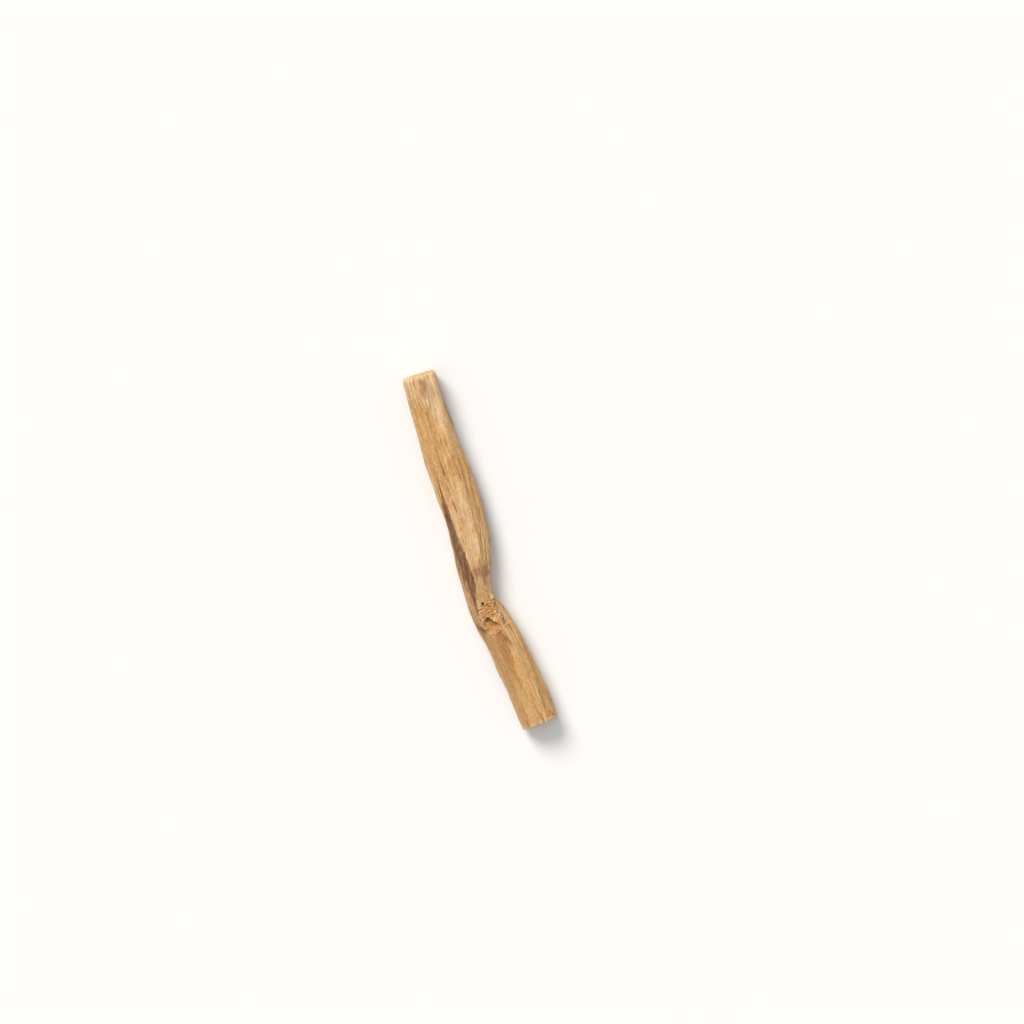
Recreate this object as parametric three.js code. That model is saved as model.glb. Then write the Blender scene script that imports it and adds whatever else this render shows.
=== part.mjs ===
// A stick of palo santo heartwood: split from a log along the grain, sawn square at both ends,
// bowed at a torn-out knot, and lying on its flattest side.
// Millimetres. +X runs along the grain from the knot's end to the plain end, +Z is up, and the
// origin is on the surface that the stick lies on, under the middle of its length and width.
import * as THREE from 'three';
import { mergeVertices } from 'three/addons/utils/BufferGeometryUtils.js';

// Driving sizes
const LENGTH = 100;
const AXIS_HEIGHT = 4.75; // of the stick's middle line above the surface
const SIDEWAYS_MIDDLE = 1.62; // the bow's offset, which puts the origin under the middle of the width
const EDGE_SHARPNESS = 32; // how crisply neighbouring split faces meet

// How finely the surface is divided
const SIDES = 54;
const CROWD_TO_TOP = 0.42; // share by which the divisions crowd towards the upper side
const COARSE_STEP = 1.35;
const FINE_STEP = 0.36;
const FINE_FROM = 26.2; // the torn knot lies between these two stations
const FINE_TO = 37;

// The middle line's sideways offset, as [station, offset]
const BOW = [
  [0, -0.1], [12, 0.6], [20, 1.35], [25, 2.0], [29, 2.8], [33, 3.5], [36.5, 4.2], [39, 4.4],
  [43, 3.75], [47, 3.0], [50.5, 2.25], [54, 1.7], [59, 1.25], [66, 1.0], [79, 1.0], [86, 0.93],
  [93, 0.75], [100, 0.25],
];

// Half of the width across the bow, as [station, distance]
const HALF_WIDTH = [
  [0, 4.95], [12, 5.08], [20, 5.0], [29, 5.05], [33, 4.78], [36.5, 3.95], [39, 3.7], [43, 4.15],
  [47, 4.75], [50.5, 5.1], [54, 5.3], [59, 5.25], [72, 5.38], [79, 5.3], [86, 4.9], [93, 4.65],
  [100, 4.55],
];

// The split faces, in order round the stick. Each has the angle of its normal, from +Y towards +Z,
// its distance from the middle line as [station, distance], and how far that wanders.
const FACES = [
  { angle: 0, wander: 0, distance: HALF_WIDTH },
  {
    angle: 31,
    wander: 0.08,
    distance: [[0, 5.1], [20, 4.9], [34, 4.5], [45, 4.2], [56, 5.0], [68, 5.8], [86, 5.4], [100, 5.1]],
  },
  {
    angle: 58,
    wander: 0.07,
    distance: [[0, 4.9], [20, 4.7], [32, 4.7], [43, 4.15], [52, 4.8], [66, 5.5], [86, 5.2], [100, 4.9]],
  },
  {
    angle: 93,
    wander: 0.06,
    distance: [
      [0, 4.4], [12, 4.7], [24, 4.75], [34, 4.35], [42, 4.2], [54, 4.6], [66, 4.75], [84, 4.6], [100, 4.2],
    ],
  },
  {
    angle: 138,
    wander: 0.06,
    distance: [
      [0, 5.2], [14, 4.9], [24, 4.8], [31, 4.9], [37, 4.2], [43, 4.35], [48, 4.75], [52, 4.88], [60, 4.95],
      [64, 4.95], [68, 5.12], [72, 5.28], [76, 5.45], [80, 5.58], [86, 5.68], [93, 5.65], [100, 5.75],
    ],
  },
  { angle: 181, wander: 0, distance: HALF_WIDTH },
  {
    angle: 226,
    wander: 0.12,
    distance: [[0, 5.3], [18, 4.9], [36, 4.3], [48, 4.9], [60, 5.4], [78, 4.9], [92, 5.2], [100, 4.9]],
  },
  {
    angle: 268,
    wander: 0.05,
    distance: [
      [0, 4.45], [10, 4.9], [25, 4.95], [37, 4.4], [50, 4.55], [62, 4.95], [84, 4.95], [93, 4.6], [100, 4.25],
    ],
  },
  {
    angle: 309,
    wander: 0.12,
    distance: [[0, 5.0], [14, 5.4], [30, 4.9], [42, 4.5], [56, 5.3], [70, 5.0], [84, 5.5], [100, 4.8]],
  },
];

// The knot, torn out of the upper side. Places there are [station, sideways].
// The hollow is an oval turned out of square with the grain, deepest under its torn upper edge.
const HOLLOW = {
  at: [29.85, 3.3],
  turn: 40,
  halfLong: 2.95,
  halfShort: 2.05,
  depth: 2.5,
  fullness: 0.55,
  dip: 0.3,
};
// Round the hollow the fibre is torn out in a shallow bed, where it stands in curled ridges.
const TORN_BED = { at: [33.4, 3.1], halfAlong: 2.6, halfAcross: 3.3, depth: 0.4 };
const CURLS = [
  {
    // the torn edge of the upper layer, and the curl that it ends in
    path: [
      [39, 1.3], [37.6, 1.1], [36.6, 1.3], [35.3, 1.3], [34.3, 0.8], [33.2, 0.3], [31.9, 0.4], [31.3, 1.1],
    ],
    height: 0.45,
    width: 0.42,
  },
  { path: [[33.8, 5.9], [34.9, 4.4], [35.4, 2.9], [35.0, 2.0], [33.6, 1.5]], height: 0.5, width: 0.38 },
  { path: [[32.9, 6.0], [33.9, 4.4], [34.1, 3.0], [33.4, 2.4], [32.5, 2.0]], height: 0.55, width: 0.38 },
  { path: [[32.6, 4.3], [32.7, 3.6], [31.9, 3.0], [31.1, 2.3], [31.4, 1.7]], height: 0.75, width: 0.42 },
  { path: [[30.1, 6.7], [31.2, 6.0], [32.3, 5.2]], height: 0.4, width: 0.4 },
  {
    // the hollow's lower lip
    path: [[30.0, 6.1], [28.9, 5.8], [27.9, 4.9], [27.3, 3.3], [27.7, 1.9], [28.4, 0.8]],
    height: 0.42,
    width: 0.42,
  },
  // the step across the shoulder, and the ridge below it
  { path: [[28.5, 0.7], [28.9, -0.5], [29.0, -1.9]], height: 0.3, width: 0.4 },
  { path: [[27.9, 0.9], [26.5, 0.45], [25.0, 0.0], [23.6, -0.3]], height: 0.3, width: 0.38 },
];
// The right shoulder has broken away along the grain, from a step across it.
const SHOULDER = {
  step: 29.1,
  edge: [[29, 0.5], [33, 0.2], [35, 0.9], [37, 0.9], [41, 0.9]],
  fadesFrom: 38,
  fadesTo: 45,
  depth: 0.95,
};
// A scoop below the lip, with a crisp ridge on its right
const SCOOP = { station: 25.7, length: 2.1, edge: [[24.2, -0.2], [28.3, 0.9]], width: 2.1, depth: 0.6 };
const NICK = { station: 28.8, angle: 32, along: 1.0, spread: 20, depth: 0.9 };

// Healed knots, low swellings with a sunken eye, on the sides that face away
const SWELLINGS = [
  { station: 61, angle: 214, along: 4.2, spread: 30, height: 0.55, eye: 0.32, eyeDepth: 0.5 },
  { station: 17, angle: 330, along: 3.4, spread: 26, height: 0.45, eye: 0.34, eyeDepth: 0.4 },
];

// Ribs of split fibre, as waves round the stick whose phase drifts along it
const RIBS = [
  { count: 7, height: 0.1, drift: 0.045, start: 0.4 },
  { count: 11, height: 0.085, drift: -0.06, start: 2.1 },
  { count: 17, height: 0.06, drift: 0.085, start: 4.4 },
];

// The saw cuts lean a little off square, in mm per mm of the section
const LOWER_CUT = { leanAcross: -0.06, leanUp: 0.07, fades: 10 };
const UPPER_CUT = { leanAcross: 0.035, leanUp: -0.09, fades: 10 };
const WORN_EDGE = { reach: 0.5, inset: 0.16 }; // how the sawn ends' edges are rubbed round

const radians = THREE.MathUtils.degToRad;
const smooth = THREE.MathUtils.smoothstep;

// A smooth value through [station, value] points
function along(points, station) {
  const last = points.length - 1;
  const next = points.findIndex((point) => point[0] > station);
  if (next === 0) return points[0][1];
  if (next === -1) return points[last][1];
  const [x0, y0] = points[next - 1];
  const [x1, y1] = points[next];
  const slope = (k) => {
    const a = points[Math.max(0, k - 1)];
    const b = points[Math.min(last, k + 1)];
    return (b[1] - a[1]) / (b[0] - a[0]);
  };
  const span = x1 - x0;
  const t = (station - x0) / span;
  const t2 = t * t;
  const t3 = t2 * t;
  return y0 * (2 * t3 - 3 * t2 + 1) + y1 * (3 * t2 - 2 * t3)
    + slope(next - 1) * span * (t3 - 2 * t2 + t) + slope(next) * span * (t3 - t2);
}

// How far a face lies from the middle line: hand splitting makes it wander
function faceDistance(face, index, station) {
  const wave = Math.sin(station / 6.1 + index * 2.4) + 0.6 * Math.sin(station / 2.7 + index * 1.3);
  return along(face.distance, station) + face.wander * wave;
}

// The split section's reach from the middle line
function sectionReach(station, angle) {
  let sum = 0;
  FACES.forEach((face, index) => {
    const facing = Math.cos(angle - radians(face.angle));
    if (facing > 0) sum += (facing / faceDistance(face, index, station)) ** EDGE_SHARPNESS;
  });
  return sum ** (-1 / EDGE_SHARPNESS);
}

// The shortest way round between two angles
function turnBetween(a, b) {
  return Math.atan2(Math.sin(a - b), Math.cos(a - b));
}

function ribHeight(station, angle) {
  return RIBS.reduce((height, rib) => {
    const phase = rib.count * angle + rib.drift * station * Math.PI + rib.start;
    const swell = 0.6 + 0.4 * Math.sin(station / 9 + rib.count);
    return height + rib.height * swell * (1 - 2 * Math.abs(Math.sin(phase / 2)));
  }, 0);
}

function swellingHeight(station, angle) {
  return SWELLINGS.reduce((height, knot) => {
    const a = (station - knot.station) / knot.along;
    const b = turnBetween(angle, radians(knot.angle)) / radians(knot.spread);
    const far = Math.hypot(a, b);
    const hump = knot.height * Math.exp(-far * far * 1.6);
    const eye = knot.eyeDepth * (1 - smooth(far, 0.4 * knot.eye, knot.eye));
    return height + hump - eye;
  }, 0);
}

// How far below the split surface the hollow's wall and floor lie
function hollowDepth(station, sideways) {
  const ds = station - HOLLOW.at[0];
  const dy = sideways - HOLLOW.at[1];
  const turn = radians(HOLLOW.turn);
  const lengthwise = ds * Math.sin(turn) + dy * Math.cos(turn);
  const upwards = ds * Math.cos(turn) - dy * Math.sin(turn);
  const ring = Math.hypot(lengthwise / HOLLOW.halfLong, upwards / HOLLOW.halfShort);
  if (ring >= 1) return 0;
  const deeper = 1 + HOLLOW.dip * (Math.tanh(upwards) + 0.5 * Math.tanh(lengthwise));
  return HOLLOW.depth * deeper * (1 - ring * ring) ** HOLLOW.fullness;
}

function bedDepth(station, sideways) {
  const a = (station - TORN_BED.at[0]) / TORN_BED.halfAlong;
  const b = (sideways - TORN_BED.at[1]) / TORN_BED.halfAcross;
  return TORN_BED.depth * (1 - smooth(Math.hypot(a, b), 0.7, 1.1));
}

// The distance from a place to a line through points
function distanceToPath(path, station, sideways) {
  let least = Infinity;
  for (let i = 1; i < path.length; i++) {
    const [s0, y0] = path[i - 1];
    const ds = path[i][0] - s0;
    const dy = path[i][1] - y0;
    const share = ((station - s0) * ds + (sideways - y0) * dy) / (ds * ds + dy * dy);
    const t = THREE.MathUtils.clamp(share, 0, 1);
    least = Math.min(least, Math.hypot(station - s0 - t * ds, sideways - y0 - t * dy));
  }
  return least;
}

function curlHeight(station, sideways) {
  return CURLS.reduce((height, curl) => {
    const away = distanceToPath(curl.path, station, sideways) / curl.width;
    return Math.max(height, curl.height * Math.exp(-away * away));
  }, 0);
}

function shoulderDepth(station, sideways) {
  const beyond = smooth(along(SHOULDER.edge, station) - sideways, -0.15, 0.6);
  const stretch = smooth(station, SHOULDER.step - 0.25, SHOULDER.step + 0.25)
    * (1 - smooth(station, SHOULDER.fadesFrom, SHOULDER.fadesTo));
  return SHOULDER.depth * beyond * stretch;
}

function scoopDepth(station, sideways) {
  const [[s0, y0], [s1, y1]] = SCOOP.edge;
  const inward = sideways - y0 - ((station - s0) * (y1 - y0)) / (s1 - s0);
  const away = (station - SCOOP.station) / SCOOP.length;
  const fade = Math.exp(-away * away - (inward / SCOOP.width) ** 2);
  return SCOOP.depth * smooth(inward, -0.05, 0.6) * fade;
}

// What the torn knot adds to or takes from the upper side, at a place [station, sideways]
function tornHeight(station, sideways) {
  const sunk = Math.max(hollowDepth(station, sideways), bedDepth(station, sideways));
  return curlHeight(station, sideways) - sunk
    - shoulderDepth(station, sideways) - scoopDepth(station, sideways);
}

function nickDepth(station, angle) {
  const a = (station - NICK.station) / NICK.along;
  const b = turnBetween(angle, radians(NICK.angle)) / radians(NICK.spread);
  return NICK.depth * Math.exp(-a * a - b * b);
}

// The point of the skin at a station and an angle, with the middle line's bow
function skinPoint(station, angle) {
  const section = sectionReach(station, angle);
  const bow = along(BOW, station);
  const upward = smooth(Math.sin(angle), 0.25, 0.7);
  const quiet = 1 - 0.8 * smooth(-Math.sin(angle), 0.75, 0.95); // the side it lies on is smoother
  const torn = upward * tornHeight(station, bow + section * Math.cos(angle));
  const relief = quiet * ribHeight(station, angle) + swellingHeight(station, angle);
  const fromEnd = Math.min(station, LENGTH - station);
  const worn = WORN_EDGE.inset * (1 - smooth(fromEnd, 0, WORN_EDGE.reach)) ** 2;
  const reach = section + relief + torn - nickDepth(station, angle) - worn;
  return { bow, across: reach * Math.cos(angle), up: reach * Math.sin(angle) };
}

// How far the lean of the saw cuts shifts a point along the stick
function cutShift(station, across, up) {
  const lower = 1 - smooth(station, 0, LOWER_CUT.fades);
  const upper = smooth(station, LENGTH - UPPER_CUT.fades, LENGTH);
  return lower * (LOWER_CUT.leanAcross * across + LOWER_CUT.leanUp * up)
    + upper * (UPPER_CUT.leanAcross * across + UPPER_CUT.leanUp * up);
}

// The stations of the rings: close together at the torn knot
function ringStations() {
  const stations = [];
  const fill = (from, to, step) => {
    const count = Math.round((to - from) / step);
    for (let i = 0; i < count; i++) stations.push(from + ((to - from) * i) / count);
  };
  fill(0, WORN_EDGE.reach, WORN_EDGE.reach / 2);
  fill(WORN_EDGE.reach, FINE_FROM, COARSE_STEP);
  fill(FINE_FROM, FINE_TO, FINE_STEP);
  fill(FINE_TO, LENGTH - WORN_EDGE.reach, COARSE_STEP);
  fill(LENGTH - WORN_EDGE.reach, LENGTH, WORN_EDGE.reach / 2);
  stations.push(LENGTH);
  return stations;
}

// A cylinder's grid of points, each pushed out to the stick's skin
function stickGeometry() {
  const stations = ringStations();
  const grid = new THREE.CylinderGeometry(1, 1, 1, SIDES, stations.length - 1);
  grid.deleteAttribute('normal');
  grid.deleteAttribute('uv');
  const geometry = mergeVertices(grid);
  const position = geometry.getAttribute('position');
  for (let i = 0; i < position.count; i++) {
    const ring = Math.round((position.getY(i) + 0.5) * (stations.length - 1));
    const station = stations[ring];
    const share = Math.hypot(position.getX(i), position.getZ(i)); // 0 at the middle of a sawn end
    const even = Math.atan2(position.getX(i), position.getZ(i));
    const skin = skinPoint(station, even + CROWD_TO_TOP * Math.cos(even));
    const across = share * skin.across;
    const up = share * skin.up;
    position.setXYZ(
      i,
      station + cutShift(station, across, up) - LENGTH / 2,
      skin.bow + across - SIDEWAYS_MIDDLE,
      Math.max(0, AXIS_HEIGHT + up), // the underside is flat where it rests
    );
  }
  geometry.computeVertexNormals();
  return geometry;
}

const wood = new THREE.MeshStandardMaterial({ color: 0xcfa26c, roughness: 0.72, metalness: 0 });
const stick = new THREE.Mesh(stickGeometry(), wood);
stick.name = 'palo_santo_stick';

const part = new THREE.Group();
part.add(stick);

export default part;
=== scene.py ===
"""Looks of a split stick of palo santo heartwood, lying on its flattest side.

Places on the stick are written as a station, in millimetres along the grain from the torn knot's
end, and a sideways place, in millimetres towards the side that the stick bows to, or as an angle
round the stick from that side towards the top.
"""

import logging
import math
from collections.abc import Sequence
from dataclasses import dataclass, field
from enum import Enum
from functools import cached_property

import bpy
import numpy as np
from mathutils import Matrix, Vector


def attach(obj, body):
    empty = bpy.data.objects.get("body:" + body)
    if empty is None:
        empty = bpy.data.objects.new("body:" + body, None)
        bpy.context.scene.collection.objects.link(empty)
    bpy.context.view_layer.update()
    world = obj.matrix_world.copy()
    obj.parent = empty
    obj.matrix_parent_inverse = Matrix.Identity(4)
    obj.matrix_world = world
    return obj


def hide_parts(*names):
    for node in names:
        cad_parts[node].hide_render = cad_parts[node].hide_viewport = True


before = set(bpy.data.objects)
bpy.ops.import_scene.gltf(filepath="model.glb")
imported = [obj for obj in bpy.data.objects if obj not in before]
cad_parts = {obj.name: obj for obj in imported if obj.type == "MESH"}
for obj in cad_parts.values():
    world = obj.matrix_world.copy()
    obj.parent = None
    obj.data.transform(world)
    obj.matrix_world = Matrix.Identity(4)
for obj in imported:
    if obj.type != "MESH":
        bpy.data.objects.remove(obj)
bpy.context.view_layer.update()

NODE = "palo_santo_stick"
MM = 0.001
TURN = 2 * math.pi

Array = np.ndarray
Points = Sequence[tuple[float, float]]
Path = Sequence[tuple[float, ...]]
Color = tuple[float, float, float, float]
Socket = bpy.types.NodeSocket
NodeOutputs = bpy.types.NodeOutputs
Inputs = dict[str | int, object]

log = logging.getLogger("stick")


def srgb(code: str) -> Color:
    """Turns a colour as seen on a screen into the linear colour that a shader takes.

    Args:
        code: the colour as six hexadecimal digits.

    Returns:
        The linear colour, with full alpha.
    """
    parts = [int(code[i : i + 2], 16) / 255 for i in (0, 2, 4)]
    linear = [p / 12.92 if p <= 0.04045 else ((p + 0.055) / 1.055) ** 2.4 for p in parts]
    return (*linear, 1.0)


def smooth(value: Array, low: float, high: float) -> Array:
    """Eases from 0 at low to 1 at high.

    Args:
        value: the values to ease.
        low: where the result leaves 0.
        high: where the result reaches 1.

    Returns:
        The eased values.
    """
    t = np.clip((value - low) / (high - low), 0, 1)
    return t * t * (3 - 2 * t)


def bell(value: Array, width: float) -> Array:
    """Gives a bump that is 1 at 0 and falls off within about width."""
    return np.exp(-((value / width) ** 2))


def along(points: Points, station: Array) -> Array:
    """Draws a smooth curve through points and reads it.

    Args:
        points: pairs of station and value, in order.
        station: where to read the curve.

    Returns:
        The curve's values, which stay level past its ends.
    """
    xs, ys = np.array(points, dtype=float).T
    slopes = np.empty_like(ys)
    slopes[1:-1] = (ys[2:] - ys[:-2]) / (xs[2:] - xs[:-2])
    slopes[0] = (ys[1] - ys[0]) / (xs[1] - xs[0])
    slopes[-1] = (ys[-1] - ys[-2]) / (xs[-1] - xs[-2])
    x = np.clip(station, xs[0], xs[-1])
    k = np.clip(np.searchsorted(xs, x, side="right") - 1, 0, len(xs) - 2)
    span = xs[k + 1] - xs[k]
    t = (x - xs[k]) / span
    rest = ys[k] * (2 * t**3 - 3 * t**2 + 1) + ys[k + 1] * (3 * t**2 - 2 * t**3)
    return rest + span * (slopes[k] * (t**3 - 2 * t**2 + t) + slopes[k + 1] * (t**3 - t**2))


def near_path(path: Path, station: Array, sideways: Array) -> tuple[Array, Array]:
    """Measures how far places are from a line through points.

    Args:
        path: the line's points, each a station and a sideways place, and maybe a width.
        station: the places' stations.
        sideways: the places' sideways offsets.

    Returns:
        The distances, and the line's width at its nearest point, or 1 where it has no width.
    """
    least = np.full(np.shape(station), np.inf)
    width = np.ones(np.shape(station))
    for start, end in zip(path, path[1:]):
        ds = end[0] - start[0]
        dy = end[1] - start[1]
        share = ((station - start[0]) * ds + (sideways - start[1]) * dy) / (ds * ds + dy * dy)
        t = np.clip(share, 0, 1)
        away = np.hypot(station - start[0] - t * ds, sideways - start[1] - t * dy)
        nearer = away < least
        least = np.where(nearer, away, least)
        if len(start) > 2:
            width = np.where(nearer, start[2] + t * (end[2] - start[2]), width)
    return least, width


def inside_loop(loop: Points, station: Array, sideways: Array) -> Array:
    """Measures how far inside a closed loop of points places lie.

    Args:
        loop: the loop's points, each a station and a sideways place.
        station: the places' stations.
        sideways: the places' sideways offsets.

    Returns:
        The distances to the loop, positive inside it and negative outside.
    """
    closed = (*loop, loop[0])
    away, _ = near_path(closed, station, sideways)
    inside = np.zeros(np.shape(station), dtype=bool)
    for (s0, y0), (s1, y1) in zip(closed, closed[1:]):
        spans = (s0 > station) != (s1 > station)
        cut = y0 + (station - s0) * (y1 - y0) / (s1 - s0)
        inside ^= spans & (sideways < cut)
    return np.where(inside, away, -away)


def turn_between(angle: Array, other: float) -> Array:
    """Gives the shortest way round from one angle to another, in radians."""
    return np.arctan2(np.sin(angle - other), np.cos(angle - other))


@dataclass(frozen=True)
class GrainNoise:
    """Smooth seeded noise round the stick, in cells that are long along the grain.

    Each row of cells is shifted by its own amount, so that no two end at the same station. The
    cells start a lead before the first station and go on for the whole run.
    """

    seed: int
    cells_round: int
    cell_length: float
    lead: float = 12
    run: float = 130
    spare_rows: int = 6

    def at(self, station: Array, angle: Array) -> Array:
        """Reads the noise.

        Args:
            station: the places' stations.
            angle: the places' angles, in radians.

        Returns:
            Values from -1 to 1.
        """
        rng = np.random.default_rng(self.seed)
        count = self.cells_round
        rows = int(self.run / self.cell_length) + self.spare_rows
        lattice = rng.uniform(-1, 1, (rows, count))
        shift = rng.uniform(0, 1, count)
        v = np.mod(angle / TURN, 1) * count
        left = np.floor(v).astype(int) % count
        u = (station + self.lead) / self.cell_length
        columns = []
        for column in (left, (left + 1) % count):
            place = u + shift[column]
            row = np.floor(place).astype(int)
            t = smooth(place - row, 0, 1)
            columns.append(lattice[row, column] * (1 - t) + lattice[row + 1, column] * t)
        t = smooth(v - np.floor(v), 0, 1)
        return columns[0] * (1 - t) + columns[1] * t


@dataclass(frozen=True)
class PatchNoise:
    """Smooth seeded noise over the upper side, in square cells.

    It starts a lead of cells before the first place, and repeats after a period of cells.
    """

    seed: int
    cell: float
    lead: int = 40
    period: int = 256

    def at(self, station: Array, sideways: Array) -> Array:
        """Reads the noise.

        Args:
            station: the places' stations.
            sideways: the places' sideways offsets.

        Returns:
            Values from -1 to 1.
        """
        period = self.period
        lattice = np.random.default_rng(self.seed).uniform(-1, 1, (period, period))
        u = station / self.cell + self.lead
        v = sideways / self.cell + self.lead
        i = np.floor(u).astype(int)
        j = np.floor(v).astype(int)
        a = smooth(u - i, 0, 1)
        b = smooth(v - j, 0, 1)
        i0, j0, i1, j1 = i % period, j % period, (i + 1) % period, (j + 1) % period
        lower = lattice[i0, j0] * (1 - a) + lattice[i1, j0] * a
        upper = lattice[i0, j1] * (1 - a) + lattice[i1, j1] * a
        return lower * (1 - b) + upper * b


@dataclass(frozen=True)
class SplitFace:
    """A split face: its normal's angle in degrees, its wander and its distances from the middle."""

    angle: float
    wander: float
    distance: Points


HALF_WIDTH = (
    (0, 4.95), (12, 5.08), (20, 5.0), (29, 5.05), (33, 4.78), (36.5, 3.95), (39, 3.7), (43, 4.15),
    (47, 4.75), (50.5, 5.1), (54, 5.3), (59, 5.25), (72, 5.38), (79, 5.3), (86, 4.9), (93, 4.65),
    (100, 4.55),
)
SPLIT_FACES = (
    SplitFace(0, 0, HALF_WIDTH),
    SplitFace(31, 0.08, (
        (0, 5.1), (20, 4.9), (34, 4.5), (45, 4.2), (56, 5.0), (68, 5.8), (86, 5.4), (100, 5.1),
    )),
    SplitFace(58, 0.07, (
        (0, 4.9), (20, 4.7), (32, 4.7), (43, 4.15), (52, 4.8), (66, 5.5), (86, 5.2), (100, 4.9),
    )),
    SplitFace(93, 0.06, (
        (0, 4.4), (12, 4.7), (24, 4.75), (34, 4.35), (42, 4.2), (54, 4.6), (66, 4.75), (84, 4.6),
        (100, 4.2),
    )),
    SplitFace(138, 0.06, (
        (0, 5.2), (14, 4.9), (24, 4.8), (31, 4.9), (37, 4.2), (43, 4.35), (48, 4.75), (52, 4.88),
        (60, 4.95), (64, 4.95), (68, 5.12), (72, 5.28), (76, 5.45), (80, 5.58), (86, 5.68),
        (93, 5.65), (100, 5.75),
    )),
    SplitFace(181, 0, HALF_WIDTH),
    SplitFace(226, 0.12, (
        (0, 5.3), (18, 4.9), (36, 4.3), (48, 4.9), (60, 5.4), (78, 4.9), (92, 5.2), (100, 4.9),
    )),
    SplitFace(268, 0.05, (
        (0, 4.45), (10, 4.9), (25, 4.95), (37, 4.4), (50, 4.55), (62, 4.95), (84, 4.95), (93, 4.6),
        (100, 4.25),
    )),
    SplitFace(309, 0.12, (
        (0, 5.0), (14, 5.4), (30, 4.9), (42, 4.5), (56, 5.3), (70, 5.0), (84, 5.5), (100, 4.8),
    )),
)


@dataclass(frozen=True)
class HealedKnot:
    """A healed knot: a swelling with an eye sunk into its middle.

    Its facing and its spread round the stick are in degrees, and its eye is a share of its reach.
    """

    station: float
    facing: float
    reach: float
    spread: float
    height: float
    eye: float
    eye_depth: float


@dataclass(frozen=True)
class SplitForm:
    """The stick's coarse form: split faces that meet round a middle line which bows sideways.

    A wave of the faces' wander has its share, its run along the stick and its shift from face to
    face. A wave of ribs has its count round the stick, its height, its drift along the stick and
    its start.
    """

    length: float = 100.0
    axis_height: float = 4.75
    sideways_middle: float = 1.62
    edge_sharpness: float = 32
    faces: Sequence[SplitFace] = SPLIT_FACES
    bow: Points = (
        (0, -0.1), (12, 0.6), (20, 1.35), (25, 2.0), (29, 2.8), (33, 3.5), (36.5, 4.2), (39, 4.4),
        (43, 3.75), (47, 3.0), (50.5, 2.25), (54, 1.7), (59, 1.25), (66, 1.0), (79, 1.0),
        (86, 0.93), (93, 0.75), (100, 0.25),
    )
    wander_waves: Sequence[tuple[float, float, float]] = ((1.0, 6.1, 2.4), (0.6, 2.7, 1.3))
    ribs: Sequence[tuple[int, float, float, float]] = (
        (7, 0.1, 0.045, 0.4), (11, 0.085, -0.06, 2.1), (17, 0.06, 0.085, 4.4),
    )
    rib_swell: float = 0.4
    rib_swell_run: float = 9
    healed_knots: Sequence[HealedKnot] = (
        HealedKnot(61, 214, 4.2, 30, 0.55, 0.32, 0.5),
        HealedKnot(17, 330, 3.4, 26, 0.45, 0.34, 0.4),
    )

    def section(self, station: Array, angle: Array) -> Array:
        """Gives how far the split faces lie from the middle line.

        Args:
            station: the places' stations.
            angle: the places' angles, in radians.

        Returns:
            The reach in millimetres.
        """
        total = np.zeros(np.shape(station))
        for index, face in enumerate(self.faces):
            waves = [
                share * np.sin(station / run + index * shift)
                for share, run, shift in self.wander_waves
            ]
            distance = along(face.distance, station) + face.wander * sum(waves)
            facing = np.cos(angle - math.radians(face.angle))
            total += (np.maximum(facing, 0) / distance) ** self.edge_sharpness
        return total ** (-1 / self.edge_sharpness)

    def rib_height(self, station: Array, angle: Array) -> Array:
        """Gives the ribs of split fibre, as waves round the stick that drift along it.

        Args:
            station: the places' stations.
            angle: the places' angles, in radians.

        Returns:
            Heights in millimetres.
        """
        height = np.zeros(np.shape(station))
        for count, tall, drift, start in self.ribs:
            phase = count * angle + drift * station * math.pi + start
            wave = np.sin(station / self.rib_swell_run + count)
            swell = 1 - self.rib_swell + self.rib_swell * wave
            height += tall * swell * (1 - 2 * np.abs(np.sin(phase / 2)))
        return height

    def swelling_height(self, station: Array, angle: Array) -> tuple[Array, Array]:
        """Gives the healed knots on the sides that face away.

        Args:
            station: the places' stations.
            angle: the places' angles, in radians.

        Returns:
            Heights in millimetres, and how much each place belongs to a knot's eye.
        """
        height = np.zeros(np.shape(station))
        eyes = np.zeros(np.shape(station))
        for knot in self.healed_knots:
            turned = turn_between(angle, math.radians(knot.facing)) / math.radians(knot.spread)
            far = np.hypot((station - knot.station) / knot.reach, turned)
            dent = knot.eye_depth * (1 - smooth(far, 0.4 * knot.eye, knot.eye))
            height += knot.height * np.exp(-far * far * 1.6) - dent
            eyes = np.maximum(eyes, bell(far, 1.5 * knot.eye))
        return height, eyes


@dataclass(frozen=True)
class Curl:
    """A curled ridge of torn fibre: its path over the upper side, its height and its width.

    The trench beside it is a share of its height, and its distance and its breadth are shares of
    the ridge's width.
    """

    path: Points
    height: float
    width: float
    trench: float = 0.3
    trench_away: float = 2.1
    trench_breadth: float = 0.9


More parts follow.
